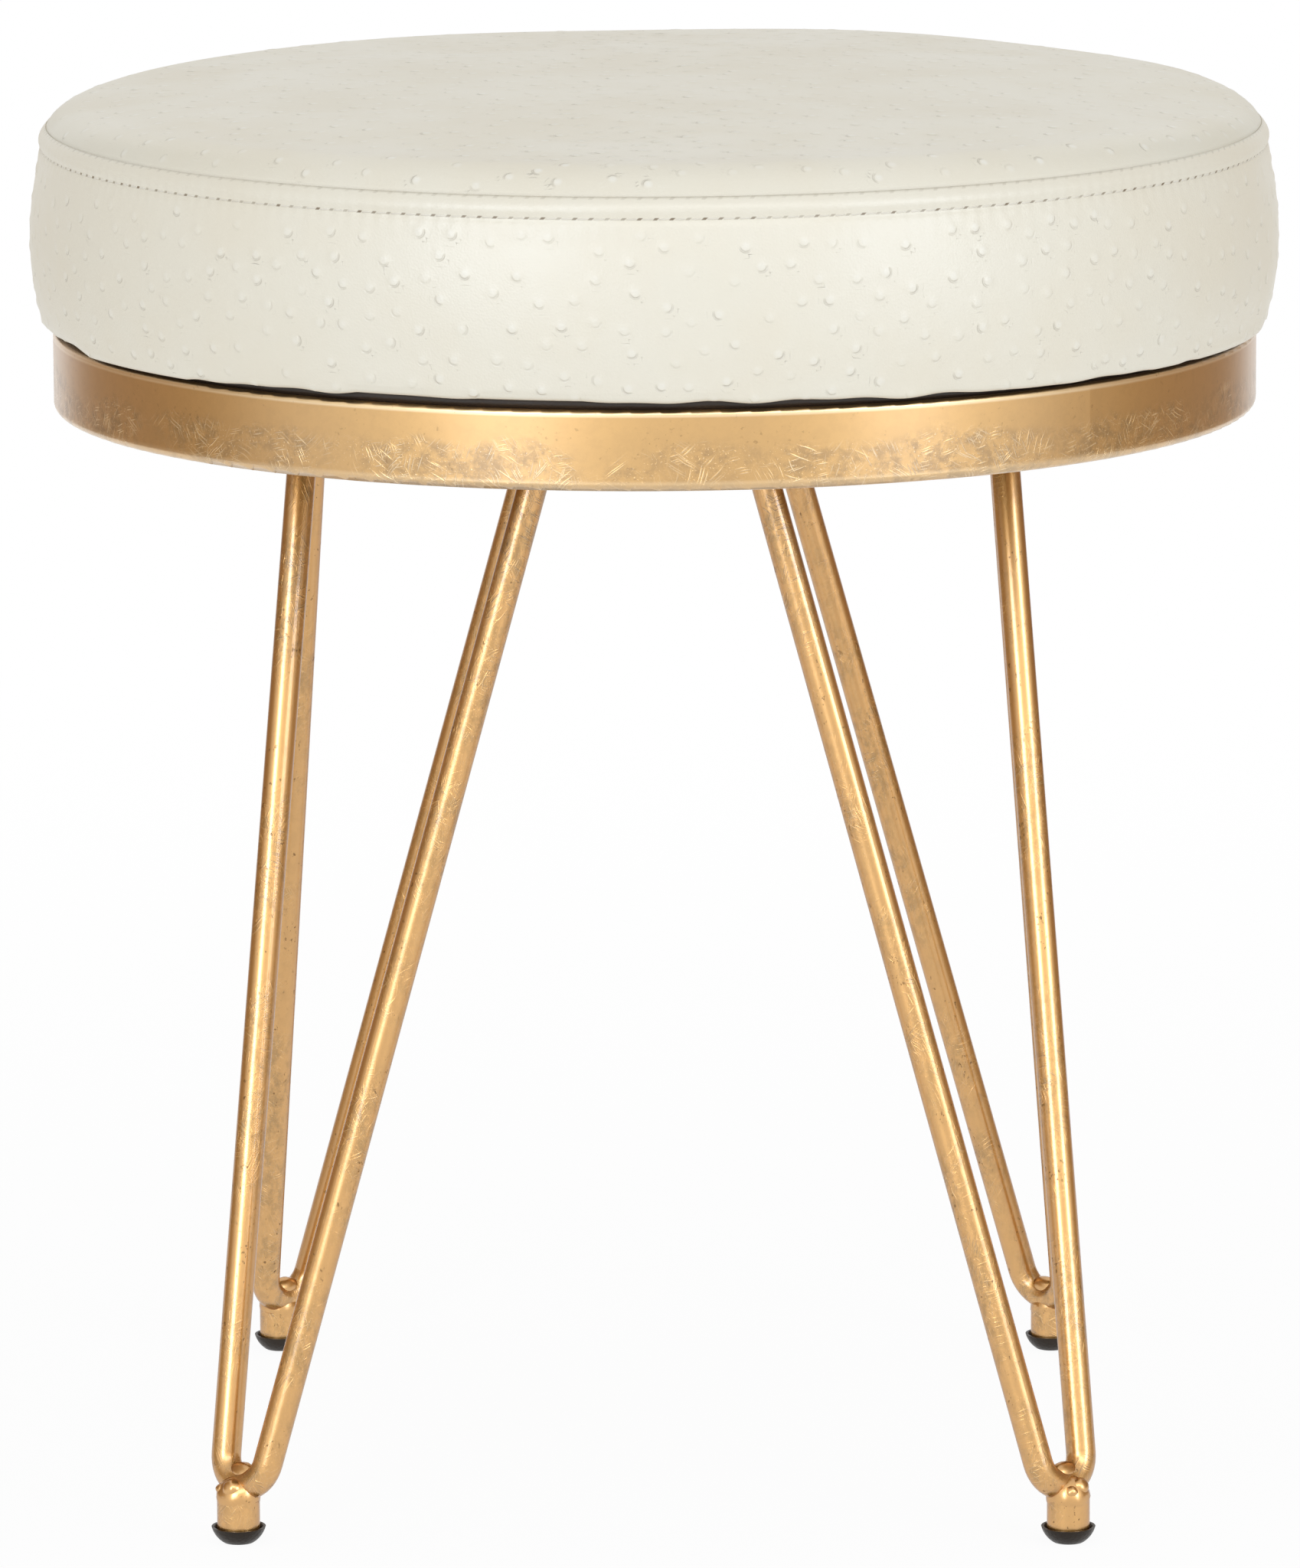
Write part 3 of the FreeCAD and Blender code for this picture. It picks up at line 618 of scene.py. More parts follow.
glide_plastic = make_plain(
    "black_plastic", colour(0.02, 0.013, 0.008), colour(0.034, 0.024, 0.016),
    grains=900.0, roughness=0.3, depth=0.1 * MM, shine=0.25)
dust_cloth = make_plain(
    "black_underlining", colour(0.02, 0.02, 0.02), colour(0.035, 0.035, 0.035),
    grains=2200.0, roughness=0.8, depth=0.3 * MM)
screw_zinc = make_plain(
    "zinc_screws", colour(0.6, 0.6, 0.58), colour(0.5, 0.5, 0.47),
    grains=1500.0, roughness=0.25, depth=0.05 * MM, metal=1.0)
thread_cotton = make_plain(
    "cream_thread", colour(0.80, 0.76, 0.66), colour(0.74, 0.69, 0.58),
    grains=4000.0, roughness=0.6, depth=0.1 * MM)
seat_foam_finish = make_plain(
    "cut_foam", colour(0.86, 0.80, 0.62), colour(0.80, 0.73, 0.54),
    grains=1100.0, roughness=0.8, depth=0.6 * MM)
plywood = make_plywood(
    "raw_plywood", colour(0.62, 0.44, 0.26), colour(0.42, 0.27, 0.14), depth=0.2 * MM)
print("small finishes ready")

# %% Dress the frame's own pieces
LEGS = (1, 2, 3, 4)
dresses = {"apron_ring": ring_gold, "seat_board": plywood, "dust_cover": dust_cloth}
for leg in LEGS:
    dresses[f"leg_{leg}_glide"] = glide_plastic
    for part in ("rod", "bar", "stub"):
        dresses[f"leg_{leg}_{part}"] = rod_gold
for node, material in dresses.items():
    nodes[node].data.materials.clear()
    nodes[node].data.materials.append(material)
print("dressed", len(dresses), "nodes of the frame")

# %% [markdown]
# ## Outlines of the leather
# Both leather pieces are outlines turned about the axis. An outline is a list of corners joined
# by arcs of given radius, read as many evenly spaced points with the way outwards at each. The
# seam edges turn in a little, so that a thin dark crease is left between panel and band.


# %% Outline helpers
def bowed(start, finish, radius, count=40):
    """Points on an arc from start to finish that bows to the left of the way."""
    start = np.array(start, float)
    finish = np.array(finish, float)
    way = finish - start
    half = np.linalg.norm(way) / 2
    left = np.array((-way[1], way[0])) / (2 * half)
    middle = (start + finish) / 2 - left * math.sqrt(radius ** 2 - half ** 2)
    first = math.atan2(*(start - middle)[::-1])
    last = math.atan2(*(finish - middle)[::-1])
    sweep = (last - first + math.pi) % (2 * math.pi) - math.pi
    turns = first + sweep * np.linspace(0, 1, count)
    return middle + radius * np.stack((np.cos(turns), np.sin(turns)), axis=1)


def arc_radius(width, rise):
    """The radius of an arc that starts level and drops by a rise over a width."""
    return (width ** 2 + rise ** 2) / (2 * rise)


def read_at(where, run, pairs):
    """Pairs of values read at distances along an outline."""
    return np.stack([np.interp(where, run, pairs[:, axis]) for axis in (0, 1)], axis=1)


def read_outline(points, spacing):
    """Even points along an outline, the way outwards at each and the distance run."""
    steps = np.linalg.norm(np.diff(points, axis=0), axis=1)
    points = points[np.concatenate(([True], steps > 1e-6))]
    run = np.concatenate(([0.0], np.cumsum(np.linalg.norm(np.diff(points, axis=0), axis=1))))
    even = np.linspace(0, run[-1], max(2, int(round(run[-1] / spacing)) + 1))
    spots = read_at(even, run, points)
    way = np.gradient(spots, axis=0)
    way /= np.linalg.norm(way, axis=1, keepdims=True)
    return spots, np.stack((-way[:, 1], way[:, 0]), axis=1), even


crown_rise = crown_z - shoulder_z
side_arc = arc_radius((stitch_z - corner_z) / 2, SIDE_BULGE)
panel_points = np.concatenate((
    bowed((0, crown_z), (shoulder_r, shoulder_z), arc_radius(shoulder_r, crown_rise), 300),
    bowed((shoulder_r, shoulder_z), (seam_r, seam_z), arc_radius(SHOULDER_WIDTH, SHOULDER_HEIGHT)),
))
side_points = np.concatenate((
    bowed((seam_r, seam_z), (side_r, stitch_z), ROLL_ROUND),
    bowed((side_r, stitch_z), (side_r, corner_z), side_arc),
    bowed((side_r, corner_z), (hem_r + HEM_LIFT, ring_top + HEM_LIFT), HEM_ROUND - HEM_LIFT),
    ((hem_r - HEM_STEP, ring_top + HEM_LIFT), (hem_r - HEM_STEP, ring_top)),
))


def inset_cushion(spacing, inset):
    """The outline of the whole cushion, from crown to hem, further in by an inset."""
    spots, outwards, _ = read_outline(np.concatenate((panel_points, side_points)), spacing)
    inner = spots - outwards * inset
    inner[0, 0] = 0.0
    return inner


print(f"panel outline {len(panel_points)} points, side outline {len(side_points)} points")

# %% [markdown]
# ## Meshes
# All that is modelled here is made of rows of points that run round something: the seat, a thread,
# a bead or a screw. So a few helpers for rows are enough, one for the faces between rows, one for
# the fan that closes a row to a tip, and one that turns a list of points and faces into a piece.

# %% Mesh helpers
UP = np.array((0.0, 0.0, 1.0))


def around(turn):
    """Unit ways out from the axis at some angles."""
    return np.stack((np.cos(turn), np.sin(turn), np.zeros_like(turn)), axis=1)


def in_space(turn, pairs):
    """Points, or ways, in space from pairs of radius and height at some angles."""
    return around(turn) * pairs[:, :1] + UP * pairs[:, 1:]


def even_turns(count):
    """Angles evenly round the axis."""
    return np.arange(count) * 2 * math.pi / count


def turned_rows(turns, corners):
    """For each corner of an outline, a row of points round the axis."""
    return [around(turns) * radius + UP * height for radius, height in corners]


def band_faces(upper, lower):
    """Faces between two closed rows, given by the numbers of their points."""
    count = len(upper)
    return [
        (upper[index], lower[index], lower[(index + 1) % count], upper[(index + 1) % count])
        for index in range(count)
    ]


def grid_faces(rows, columns, first=0):
    """Faces between closed rows that follow each other."""
    starts = [range(first + row * columns, first + (row + 1) * columns) for row in range(rows)]
    return [face for upper, lower in zip(starts, starts[1:]) for face in band_faces(upper, lower)]


def fan_faces(tip, first, count):
    """Triangles from a tip to a closed row."""
    return [(tip, first + index, first + (index + 1) % count) for index in range(count)]


def flipped(faces):
    """Faces turned inside out."""
    return [face[::-1] for face in faces]


def capped_faces(rows, columns):
    """Faces of a closed shape: a tip, closed rows that follow each other, and a last tip."""
    last_tip = 1 + rows * columns
    faces = fan_faces(0, 1, columns) + grid_faces(rows, columns, 1)
    return faces + flipped(fan_faces(last_tip, last_tip - columns, columns))


def turned_shape(outline, count):
    """Points and faces turned about the axis from an outline that starts and ends on it."""
    tips = [((0, 0, outline[end][1]),) for end in (0, -1)]
    rows = turned_rows(even_turns(count), outline[1:-1])
    return np.concatenate((tips[0], *rows, tips[1])), capped_faces(len(rows), count)


def gather(shapes):
    """Several shapes as one list of points and one of faces."""
    points = []
    faces = []
    for shape_points, shape_faces in shapes:
        faces += [tuple(index + len(points) for index in face) for face in shape_faces]
        points += [tuple(point) for point in shape_points]
    return points, faces


def add_mesh(name, points, faces):
    """A mesh object in the scene; points are in millimetres."""
    mesh = bpy.data.meshes.new(name)
    mesh.from_pydata((np.asarray(points) * MM).tolist(), [], faces)
    mesh.update()
    return add_object(name, mesh)


def make_piece(name, points, faces, material, slot, beside=None, smooth=None):
    """A mesh piece that rides on the bench, smooth all over unless each face is given its way."""
    piece = add_mesh(name, points, faces)
    mesh = piece.data
    mesh.polygons.foreach_set("use_smooth", smooth or [True] * len(faces))
    if beside is not None:
        layer = mesh.attributes.new("beside_quill", "FLOAT_VECTOR", "POINT")
        layer.data.foreach_set("vector", np.asarray(beside, np.float32).ravel())
    mesh.materials.append(material)
    mesh.update()
    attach(piece, "root")
    return piece


print("mesh helpers ready")

# %% [markdown]
# ## Filling the cushion
# A real cushion is leather stretched over foam that pushes out, and is held along its seam and at
# the board. That is a cloth simulation: a slightly small pad is remeshed into even cells, held
# there, and blown up by pressure with gravity off. What it gives is not the fine leather but how
# far each part of the surface swells or lags, and that is read back as a smooth field.

# %% Cloth simulation of the pad
PAD_SPACING = 6.0
PAD_SIDES = 220
PAD_VOXEL = 0.005
PAD_INSET = 2.0
PAD_UNEVEN = 0.006
PAD_LUMPS = 14.0
PAD_PRESSURE = 4.0
PAD_FRAMES = 20
SEAM_GRIP = 6.0


def small_pad():
    """The pad before it is filled: the cushion's outline, smaller and a little uneven."""
    floor_z = ring_top + PAD_INSET
    closing = ((hem_r * 0.5, floor_z), (0, floor_z))
    outline = np.concatenate((inset_cushion(PAD_SPACING, PAD_INSET), closing))
    pad = add_mesh("pad_start", *turned_shape(outline, PAD_SIDES))
    for vertex in pad.data.vertices:
        vertex.co *= 1 + PAD_UNEVEN * noise.noise(vertex.co * PAD_LUMPS)
    remesh = pad.modifiers.new("cells", "REMESH")
    remesh.mode = "VOXEL"
    remesh.voxel_size = PAD_VOXEL
    return pad


def filled_pad():
    """The pad after the simulation, as a search tree of its surface, and the count of its cells."""
    start = small_pad()
    remeshed = start.evaluated_get(bpy.context.evaluated_depsgraph_get())
    pad = add_object("pad", bpy.data.meshes.new_from_object(remeshed))
    bpy.data.objects.remove(start)
    held = pad.vertex_groups.new(name="held")
    for vertex in pad.data.vertices:
        radius = math.hypot(vertex.co.x, vertex.co.y) / MM
        height = vertex.co.z / MM
        on_seam = max(0.0, 1 - abs(height - seam_z) / SEAM_GRIP) if radius > shoulder_r else 0.0
        on_board = 1.0 if height < corner_z else 0.0
        held.add([vertex.index], max(on_seam, on_board), "REPLACE")
    cloth = pad.modifiers.new("leather", "CLOTH")
    cloth.settings.quality = 6
    cloth.settings.mass = 0.4
    cloth.settings.tension_stiffness = 25
    cloth.settings.compression_stiffness = 25
    cloth.settings.use_pressure = True
    cloth.settings.uniform_pressure_force = PAD_PRESSURE
    cloth.settings.vertex_group_mass = "held"
    cloth.settings.effector_weights.gravity = 0
    cloth.point_cache.frame_end = PAD_FRAMES
    for number in range(1, PAD_FRAMES + 1):
        scene.frame_set(number)
    tree = BVHTree.FromObject(pad, bpy.context.evaluated_depsgraph_get())
    cells = len(pad.data.polygons)
    bpy.data.objects.remove(pad)
    scene.frame_set(1)
    return tree, cells


print(f"the pad starts {PAD_INSET} mm small, in cells of {PAD_VOXEL / MM:.0f} mm")

# %% Read the swelling back
FIELD_SPACING = 5.0
FIELD_TURNS = 72
FIELD_WAVES = 9
FIELD_DEPTH = 12.0
FIELD_REACH = 0.04
SWELL_LIMIT = 0.9
PROFILE_SHARE = 0.3
SOFT_ROWS = np.array((1.0, 2.0, 3.0, 2.0, 1.0))


def swell_field(tree, outline):
    """How far the filled pad stands out along an outline, as slow waves round the seat."""
    spots, outwards, run = read_outline(outline, FIELD_SPACING)
    field = np.zeros((len(spots), FIELD_TURNS))
    for row, (spot, out) in enumerate(zip(spots, outwards)):
        for index, turn in enumerate(even_turns(FIELD_TURNS)):
            across = Vector((math.cos(turn), math.sin(turn), 0))
            away = across * out[0] + Vector((0, 0, out[1]))
            origin = (across * spot[0] + Vector((0, 0, spot[1]))) * MM - away * FIELD_DEPTH * MM
            distance = tree.ray_cast(origin, away, FIELD_REACH)[3]
            field[row, index] = distance / MM - FIELD_DEPTH if distance else -PAD_INSET
    profile = np.median(field, axis=1, keepdims=True)
    field += PROFILE_SHARE * (profile - profile.mean()) - profile
    padded = np.pad(field, ((2, 2), (0, 0)), mode="edge")
    soft = SOFT_ROWS / SOFT_ROWS.sum()
    field = sum(weight * padded[index:index + len(field)] for index, weight in enumerate(soft))
    waves = np.fft.rfft(np.clip(field, -SWELL_LIMIT, SWELL_LIMIT), axis=1)[:, :FIELD_WAVES] / FIELD_TURNS
    return run, waves


def swell(field, run, turn):
    """The field read at distances along the outline and angles round the seat."""
    spots, waves = field
    total = np.zeros_like(run)
    for wave in range(waves.shape[1]):
        real = np.interp(run, spots, waves[:, wave].real)
        imaginary = np.interp(run, spots, waves[:, wave].imag)
        share = 1.0 if wave == 0 else 2.0
        total += share * (real * np.cos(wave * turn) - imaginary * np.sin(wave * turn))
    return total


panel_field = side_field = (np.array((0.0, 1.0)), np.zeros((2, 1), complex))
pad_tree, pad_cells = filled_pad()
panel_field = swell_field(pad_tree, panel_points)
side_field = swell_field(pad_tree, side_points)
print("filled a pad of", pad_cells, "cells; mean swell along the side, mm:",
      np.round(side_field[1][:, 0].real, 2).tolist())

# %% [markdown]
# ## Quill marks
# The quills lie unevenly, about as far apart as a finger is wide, and never touch. Throwing points
# at random and dropping those that land too close to an earlier one gives that spacing. A quill is
# a low dome, and every point near one also keeps its place beside it for the finish.

# %% Quill helpers
QUILL_HEIGHT = 0.42
QUILL_NEAR = 4.5
QUILL_GAP = 8.5
QUILL_TILT = 0.6
QUILL_SPREAD = 0.6
QUILL_FADE = 0.5
MARK_LEAST = 0.3
DOME_REACH = 1.25
DOME_POWER = 1.5


def thrown_spots(candidates):
    """Those of some flat places that land at least a gap from all that were kept before."""
    kept = []
    cells = {}
    for spot in candidates:
        column, row = (int(value // QUILL_GAP) for value in spot)
        near = [
            other
            for across in (-1, 0, 1)
            for up in (-1, 0, 1)
            for other in cells.get((column + across, row + up), ())
        ]
        if all(np.linalg.norm(spot - other) >= QUILL_GAP for other in near):
            kept.append(spot)
            cells.setdefault((column, row), []).append(spot)
    return np.array(kept)


def quill_heights(random, count, least):
    """Uneven heights of some quills, of which none is under a least share."""
    return QUILL_HEIGHT * (least + QUILL_SPREAD * random.rand(count))


def raise_quills(random, points, outwards, downwards, quills, heights):
    """The points raised over the quills, and each one's place beside the nearest quill."""
    tilts = random.normal(0, QUILL_TILT, len(quills))
    marks = MARK_LEAST + (1 - MARK_LEAST) * random.rand(len(quills))
    rise = np.zeros(len(points))
    beside = np.zeros((len(points), 3))
    tree = kdtree.KDTree(len(points))
    for index, point in enumerate(points):
        tree.insert(point, index)
    tree.balance()
    for quill, height, tilt, mark in zip(quills, heights, tilts, marks):
        found = tree.find_range(Vector(quill), QUILL_NEAR)
        if not found:
            continue
        rows = np.array([item[1] for item in found])
        far = np.array([item[2] for item in found])
        inside = np.clip(1 - (far / (QUILL_RADIUS * DOME_REACH)) ** 2, 0, 1)
        rise[rows] = np.maximum(rise[rows], height * inside ** DOME_POWER)
        offset = points[rows] - quill
        down = (offset * downwards[rows]).sum(axis=1)
        across = (offset * np.cross(outwards[rows], downwards[rows])).sum(axis=1)
        close = np.clip(QUILL_NEAR - QUILL_FADE - far, 0, 1) * mark
        turned_across = across * math.cos(tilt) - down * math.sin(tilt)
        turned_down = across * math.sin(tilt) + down * math.cos(tilt)
        beside[rows] = np.stack((turned_across, turned_down, close), axis=1)
    return points + outwards * rise[:, None], beside


print(f"quill domes {2 * QUILL_RADIUS} mm across, at least {QUILL_GAP} mm apart")

# %% [markdown]
# ## Top panel
# A turned mesh would crowd its points at the middle, so the panel is a square grid squeezed into a
# disc, which keeps its cells even. Its edge turns down into the seam, and a plain inner face under
# it makes the panel a closed sheet as thick as the leather and its lining.

# %% Build the top panel
PANEL_CELLS = 276
PANEL_SPACING = 0.5
PANEL_THROWS = 9000
QUILL_EDGE = 0.985
EDGE_HOLD = 12.0
EDGE_SHARE = 0.16
EDGE_LEAST = 0.4
SEAM_TUCK = 1.5
PANEL_LIP = (0.25, 0.2)
PANEL_TUCK_DROP = 0.4
SHOULDER_SLACK = 2.2
SLACK_SHARPNESS = 6
SLACK_BIAS = 0.2
SLACK_PLACE = 18.0
SLACK_WIDTH = 12.0
GRAIN_TURN = math.radians(200)


def disc_grid(cells):
    """Shares of the way out, and angles, of a square grid squeezed into a disc."""
    line = np.linspace(-1, 1, cells + 1)
    right, up = np.meshgrid(line, line)
    wide = np.abs(right) >= np.abs(up)
    safe_right = np.where(np.abs(right) < 1e-12, 1e-12, right)
    safe_up = np.where(np.abs(up) < 1e-12, 1e-12, up)
    share = np.where(wide, right, up)
    turn = np.where(wide, math.pi / 4 * up / safe_right, math.pi / 2 - math.pi / 4 * right / safe_up)
    turn = np.where(share < 0, turn + math.pi, turn)
    return np.abs(share).ravel(), turn.ravel()


def disc_faces(cells):
    """Faces of the square grid, and the numbers of its border points, once round."""
    side = cells + 1
    faces = [
        (first, first + 1, first + side + 1, first + side)
        for first in range(cells * side)
        if first % side < cells
    ]
    rim = list(range(cells))
    rim += [row * side + cells for row in range(cells)]
    rim += [cells * side + column for column in range(cells, 0, -1)]
    rim += [row * side for row in range(cells, 0, -1)]
    return faces, rim


def panel_surface(share, turn):
    """Points of the filled panel, and the ways outwards."""
    spots, outwards, run = read_outline(panel_points, PANEL_SPACING)
    length = share * run[-1]
    from_seam = run[-1] - length
    out = read_at(length, run, outwards)
    lift = swell(panel_field, length, turn) * np.clip(from_seam / EDGE_HOLD, 0, 1)
    slack = SHOULDER_SLACK * (np.cos(turn - CAMERA_AZIMUTH) ** SLACK_SHARPNESS - SLACK_BIAS)
    lift -= slack * np.exp(-((from_seam - SLACK_PLACE) / SLACK_WIDTH) ** 2)
    spot = read_at(length, run, spots) + out * lift[:, None]
    return in_space(turn, spot), in_space(turn, out)


def emboss_panel(share, turn):
    """The panel's surface with its quills raised, each point's place beside a quill, and their count."""
    random = np.random.RandomState(11)
    points, ways = panel_surface(share, turn)
    thrown_out = np.sqrt(random.rand(PANEL_THROWS)) * QUILL_EDGE
    thrown_turn = random.rand(PANEL_THROWS) * 2 * math.pi
    kept = thrown_spots(thrown_out[:, None] * around(thrown_turn)[:, :2] * seam_r)
    quill_share = np.linalg.norm(kept, axis=1) / seam_r
    quills = panel_surface(quill_share, np.arctan2(kept[:, 1], kept[:, 0]))[0]
    heights = quill_heights(random, len(quills), least=0.55)
    heights *= np.clip((1 - quill_share) / EDGE_SHARE, EDGE_LEAST, 1)
    grain_way = np.array((math.cos(GRAIN_TURN), math.sin(GRAIN_TURN), 0.0))
    downwards = grain_way - ways * (ways @ grain_way)[:, None]
    downwards /= np.maximum(np.linalg.norm(downwards, axis=1, keepdims=True), 1e-6)
    return *raise_quills(random, points, ways, downwards, quills, heights), len(quills)


def panel_lining():
    """Corners of the panel's inner face, from the seam to near the middle."""
    corners = [
        (seam_r - PANEL_LIP[0], seam_z - PANEL_LIP[1]),
        (seam_r - SEAM_TUCK - LEATHER, seam_z - PANEL_TUCK_DROP),
    ]
    corners += [
        (seam_r - LINING - SHOULDER_WIDTH * part, seam_z + (SHOULDER_HEIGHT - LINING) * part ** 0.5)
        for part in (0.5, 0.85, 1.0)
    ]
    return corners + [
        (shoulder_r * part, crown_z - LINING - crown_rise * part ** 2)
        for part in (0.7, 0.4, 0.1)
    ]


def build_top_panel():
    """The embossed panel with its turned-in edge and its inner face."""
    share, turn = disc_grid(PANEL_CELLS)
    points, beside, quill_count = emboss_panel(share, turn)
    faces, rim = disc_faces(PANEL_CELLS)
    seen = len(faces)
    first = len(points)
    count = len(rim)
    rows = turned_rows(turn[rim], panel_lining())
    points = np.concatenate((points, *rows, ((0, 0, crown_z - LINING),)))
    faces += band_faces(rim, range(first, first + count))
    faces += grid_faces(len(rows), count, first)
    faces += flipped(fan_faces(len(points) - 1, len(points) - 1 - count, count))
    beside = np.concatenate((beside, np.zeros((len(points) - first, 3))))
    smooth = [True] * seen + [False] * (len(faces) - seen)
    panel = make_piece("top_panel", points, faces, panel_leather, "cream_leather", beside, smooth)
    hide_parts("cover_top_panel")
    print("top panel:", len(faces), "faces,", quill_count, "quills")
    return panel


top_panel = build_top_panel()

# %% [markdown]
# ## Side band
# The band is turned from its outline: a tuck into the seam, the rolled edge, a groove where the
# topstitch pulls the leather in, the bulging side, and the hem folded under the board. The hem is
# never quite even on such a seat, so its lower edge rises and falls by about a millimetre, and it
# rides highest at the front, left of the middle.

# %% Build the side band
BAND_COLUMNS = 1024
BAND_SPACING = 1.12
BAND_THROWS = 5000
GROOVE_DEPTH = 0.55
GROOVE_WIDTH = 1.1
PUCKER = 0.16
PUCKER_REACH = 3.0
ROLL_SWELL = 0.3
ROLL_WIDTH = 1.8
STITCH_HOLD = 8.0
HEM_HOLD = 12.0
BAND_LIP = 0.3
BAND_TUCK_DROP = 0.9
BAND_LINING_DROP = 1.6
HEM_WANDER = 2.2
HEM_WAVES = ((4, 13, 0.65), (20, 60, 0.35))
WAVE_LEAST = 0.4
HEM_RISE = 1.2
HEM_RISE_BIAS = 0.6
HEM_RISE_TURN = CAMERA_AZIMUTH - math.radians(104)
HEM_SHARPNESS = 1.7
HEM_RANGE = (-0.9, 1.5)
HEM_EASE = 2.0
QUILL_FOOT = 3.0
QUILL_MARGIN = 8.0


def slow_waves(random, turn, lowest, highest, size):
    """A smooth uneven curve round the seat, from waves with random places."""
    total = np.zeros_like(turn)
    for wave in range(lowest, highest + 1):
        shape = np.cos(wave * turn + random.rand() * 2 * math.pi)
        total += shape * (WAVE_LEAST + random.rand()) / math.sqrt(wave)
    return size * total / np.abs(total).max()


def band_surface(random, turns, spots, outwards, run):
    """Points of the filled band in rows from the seam to the hem, and the ways outwards."""
    rows = len(spots)
    turn = np.tile(turns, rows)
    spot = np.repeat(spots, BAND_COLUMNS, axis=0)
    height = spot[:, 1]
    free = np.clip((stitch_z - height) / STITCH_HOLD, 0, 1) * np.clip((height - corner_z) / HEM_HOLD, 0, 1)
    lift = swell(side_field, np.repeat(run, BAND_COLUMNS), turn) * free
    from_stitch = height - stitch_z
    lift -= GROOVE_DEPTH * np.exp(-(from_stitch / GROOVE_WIDTH) ** 2)
    lift += PUCKER * np.cos(turn * STITCH_COUNT) * np.exp(-np.abs(from_stitch) / PUCKER_REACH)
    lift += ROLL_SWELL * np.exp(-((height - (stitch_z + seam_z) / 2) / ROLL_WIDTH) ** 2)
    ways = in_space(turn, np.repeat(outwards, BAND_COLUMNS, axis=0))
    points = in_space(turn, spot) + ways * lift[:, None]
    wander = HEM_RISE * (np.cos(turns - HEM_RISE_TURN) - HEM_RISE_BIAS)
    for lowest, highest, share in HEM_WAVES:
        wander += slow_waves(random, turns, lowest, highest, share * HEM_WANDER)
    low = np.clip((corner_z + HEM_EASE - height) / (HEM_ROUND + HEM_EASE), 0, 1)
    points[:, 2] += np.tile(np.clip(HEM_SHARPNESS * wander, *HEM_RANGE), rows) * np.sin(low * math.pi)
    return points, ways


def emboss_band(random, turns, points, ways, spots):
    """The band's surface with its quills raised, each point's place beside a quill, and their count."""
    downwards = np.cross(around(np.tile(turns, len(spots)) + math.pi / 2), ways)
    downwards *= np.where(downwards[:, 2:] > 0, -1, 1)
    tall = stitch_z - ring_top
    round_seat = random.rand(BAND_THROWS) * 2 * math.pi * side_r
    up_side = random.rand(BAND_THROWS) * tall
    kept = thrown_spots(np.stack((round_seat, up_side), axis=1))
    quill_z = ring_top + QUILL_FOOT + kept[:, 1] * (tall - QUILL_MARGIN) / tall
    order = np.argsort(spots[:, 1])
    quill_r = np.interp(quill_z, spots[order, 1], spots[order, 0])
    quills = in_space(kept[:, 0] / side_r, np.stack((quill_r, quill_z), axis=1))
    heights = quill_heights(random, len(quills), least=0.5)
    return *raise_quills(random, points, ways, downwards, quills, heights), len(quills)


def build_side_band():
    """The embossed band with its roll, stitched groove, hem and inner face."""
    random = np.random.RandomState(23)
    turns = even_turns(BAND_COLUMNS)
    spots, outwards, run = read_outline(side_points, BAND_SPACING)
    points, ways = band_surface(random, turns, spots, outwards, run)
    points, beside, quill_count = emboss_band(random, turns, points, ways, spots)
    tuck = [
        (seam_r - SEAM_TUCK - LEATHER, seam_z - BAND_TUCK_DROP),
        (seam_r - BAND_LIP, seam_z - BAND_LIP),
    ]
    under = [
        (hem_r - HEM_WIDTH, ring_top), (hem_r - HEM_WIDTH, ring_top + LEATHER),
        (hem_r - HEM_STEP - LEATHER, ring_top + LEATHER),
        (hem_r - HEM_STEP, ring_top + HEM_LIFT + LEATHER), (side_r - LINING, corner_z),
        (widest_r - LINING, (corner_z + stitch_z) / 2),
        (side_r - LINING, stitch_z), (seam_r - SEAM_TUCK - LINING, seam_z - BAND_LINING_DROP),
    ]
    points = np.concatenate((*turned_rows(turns, tuck), points, *turned_rows(turns, under)))
    blank = np.zeros((BAND_COLUMNS, 3))
    beside = np.concatenate((*[blank] * len(tuck), beside, *[blank] * len(under)))
    total = len(spots) + len(tuck) + len(under)
    faces = grid_faces(total, BAND_COLUMNS)
    faces += band_faces(range((total - 1) * BAND_COLUMNS, total * BAND_COLUMNS), range(BAND_COLUMNS))
    hidden = len(tuck) * BAND_COLUMNS
    seen = (len(spots) - 1) * BAND_COLUMNS
    smooth = [False] * hidden + [True] * seen + [False] * (len(faces) - hidden - seen)
    band = make_piece("side_band", points, faces, band_leather, "cream_leather", beside, smooth)
    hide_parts("cover_side_band")
    print("side band:", len(faces), "faces,", quill_count, "quills")


build_side_band()

# %% [markdown]
# ## Topstitch
# One row of cream thread runs round the seat under the rolled edge. Each stitch is a short
# stretch of thread that comes out of one needle hole and dives into the next, so it is a thin
# tube that is low at both ends. One mesh holds them all.

# %% Sew the topstitch
STITCH_LENGTH = 0.8
STITCH_DIVE = 0.55
STITCH_TAPER = 0.55
STITCH_SLANT = 0.12
THREAD_RADIUS = 0.32
THREAD_SHOWN = 0.7
THREAD_SIDES = 6
THREAD_RINGS = 7


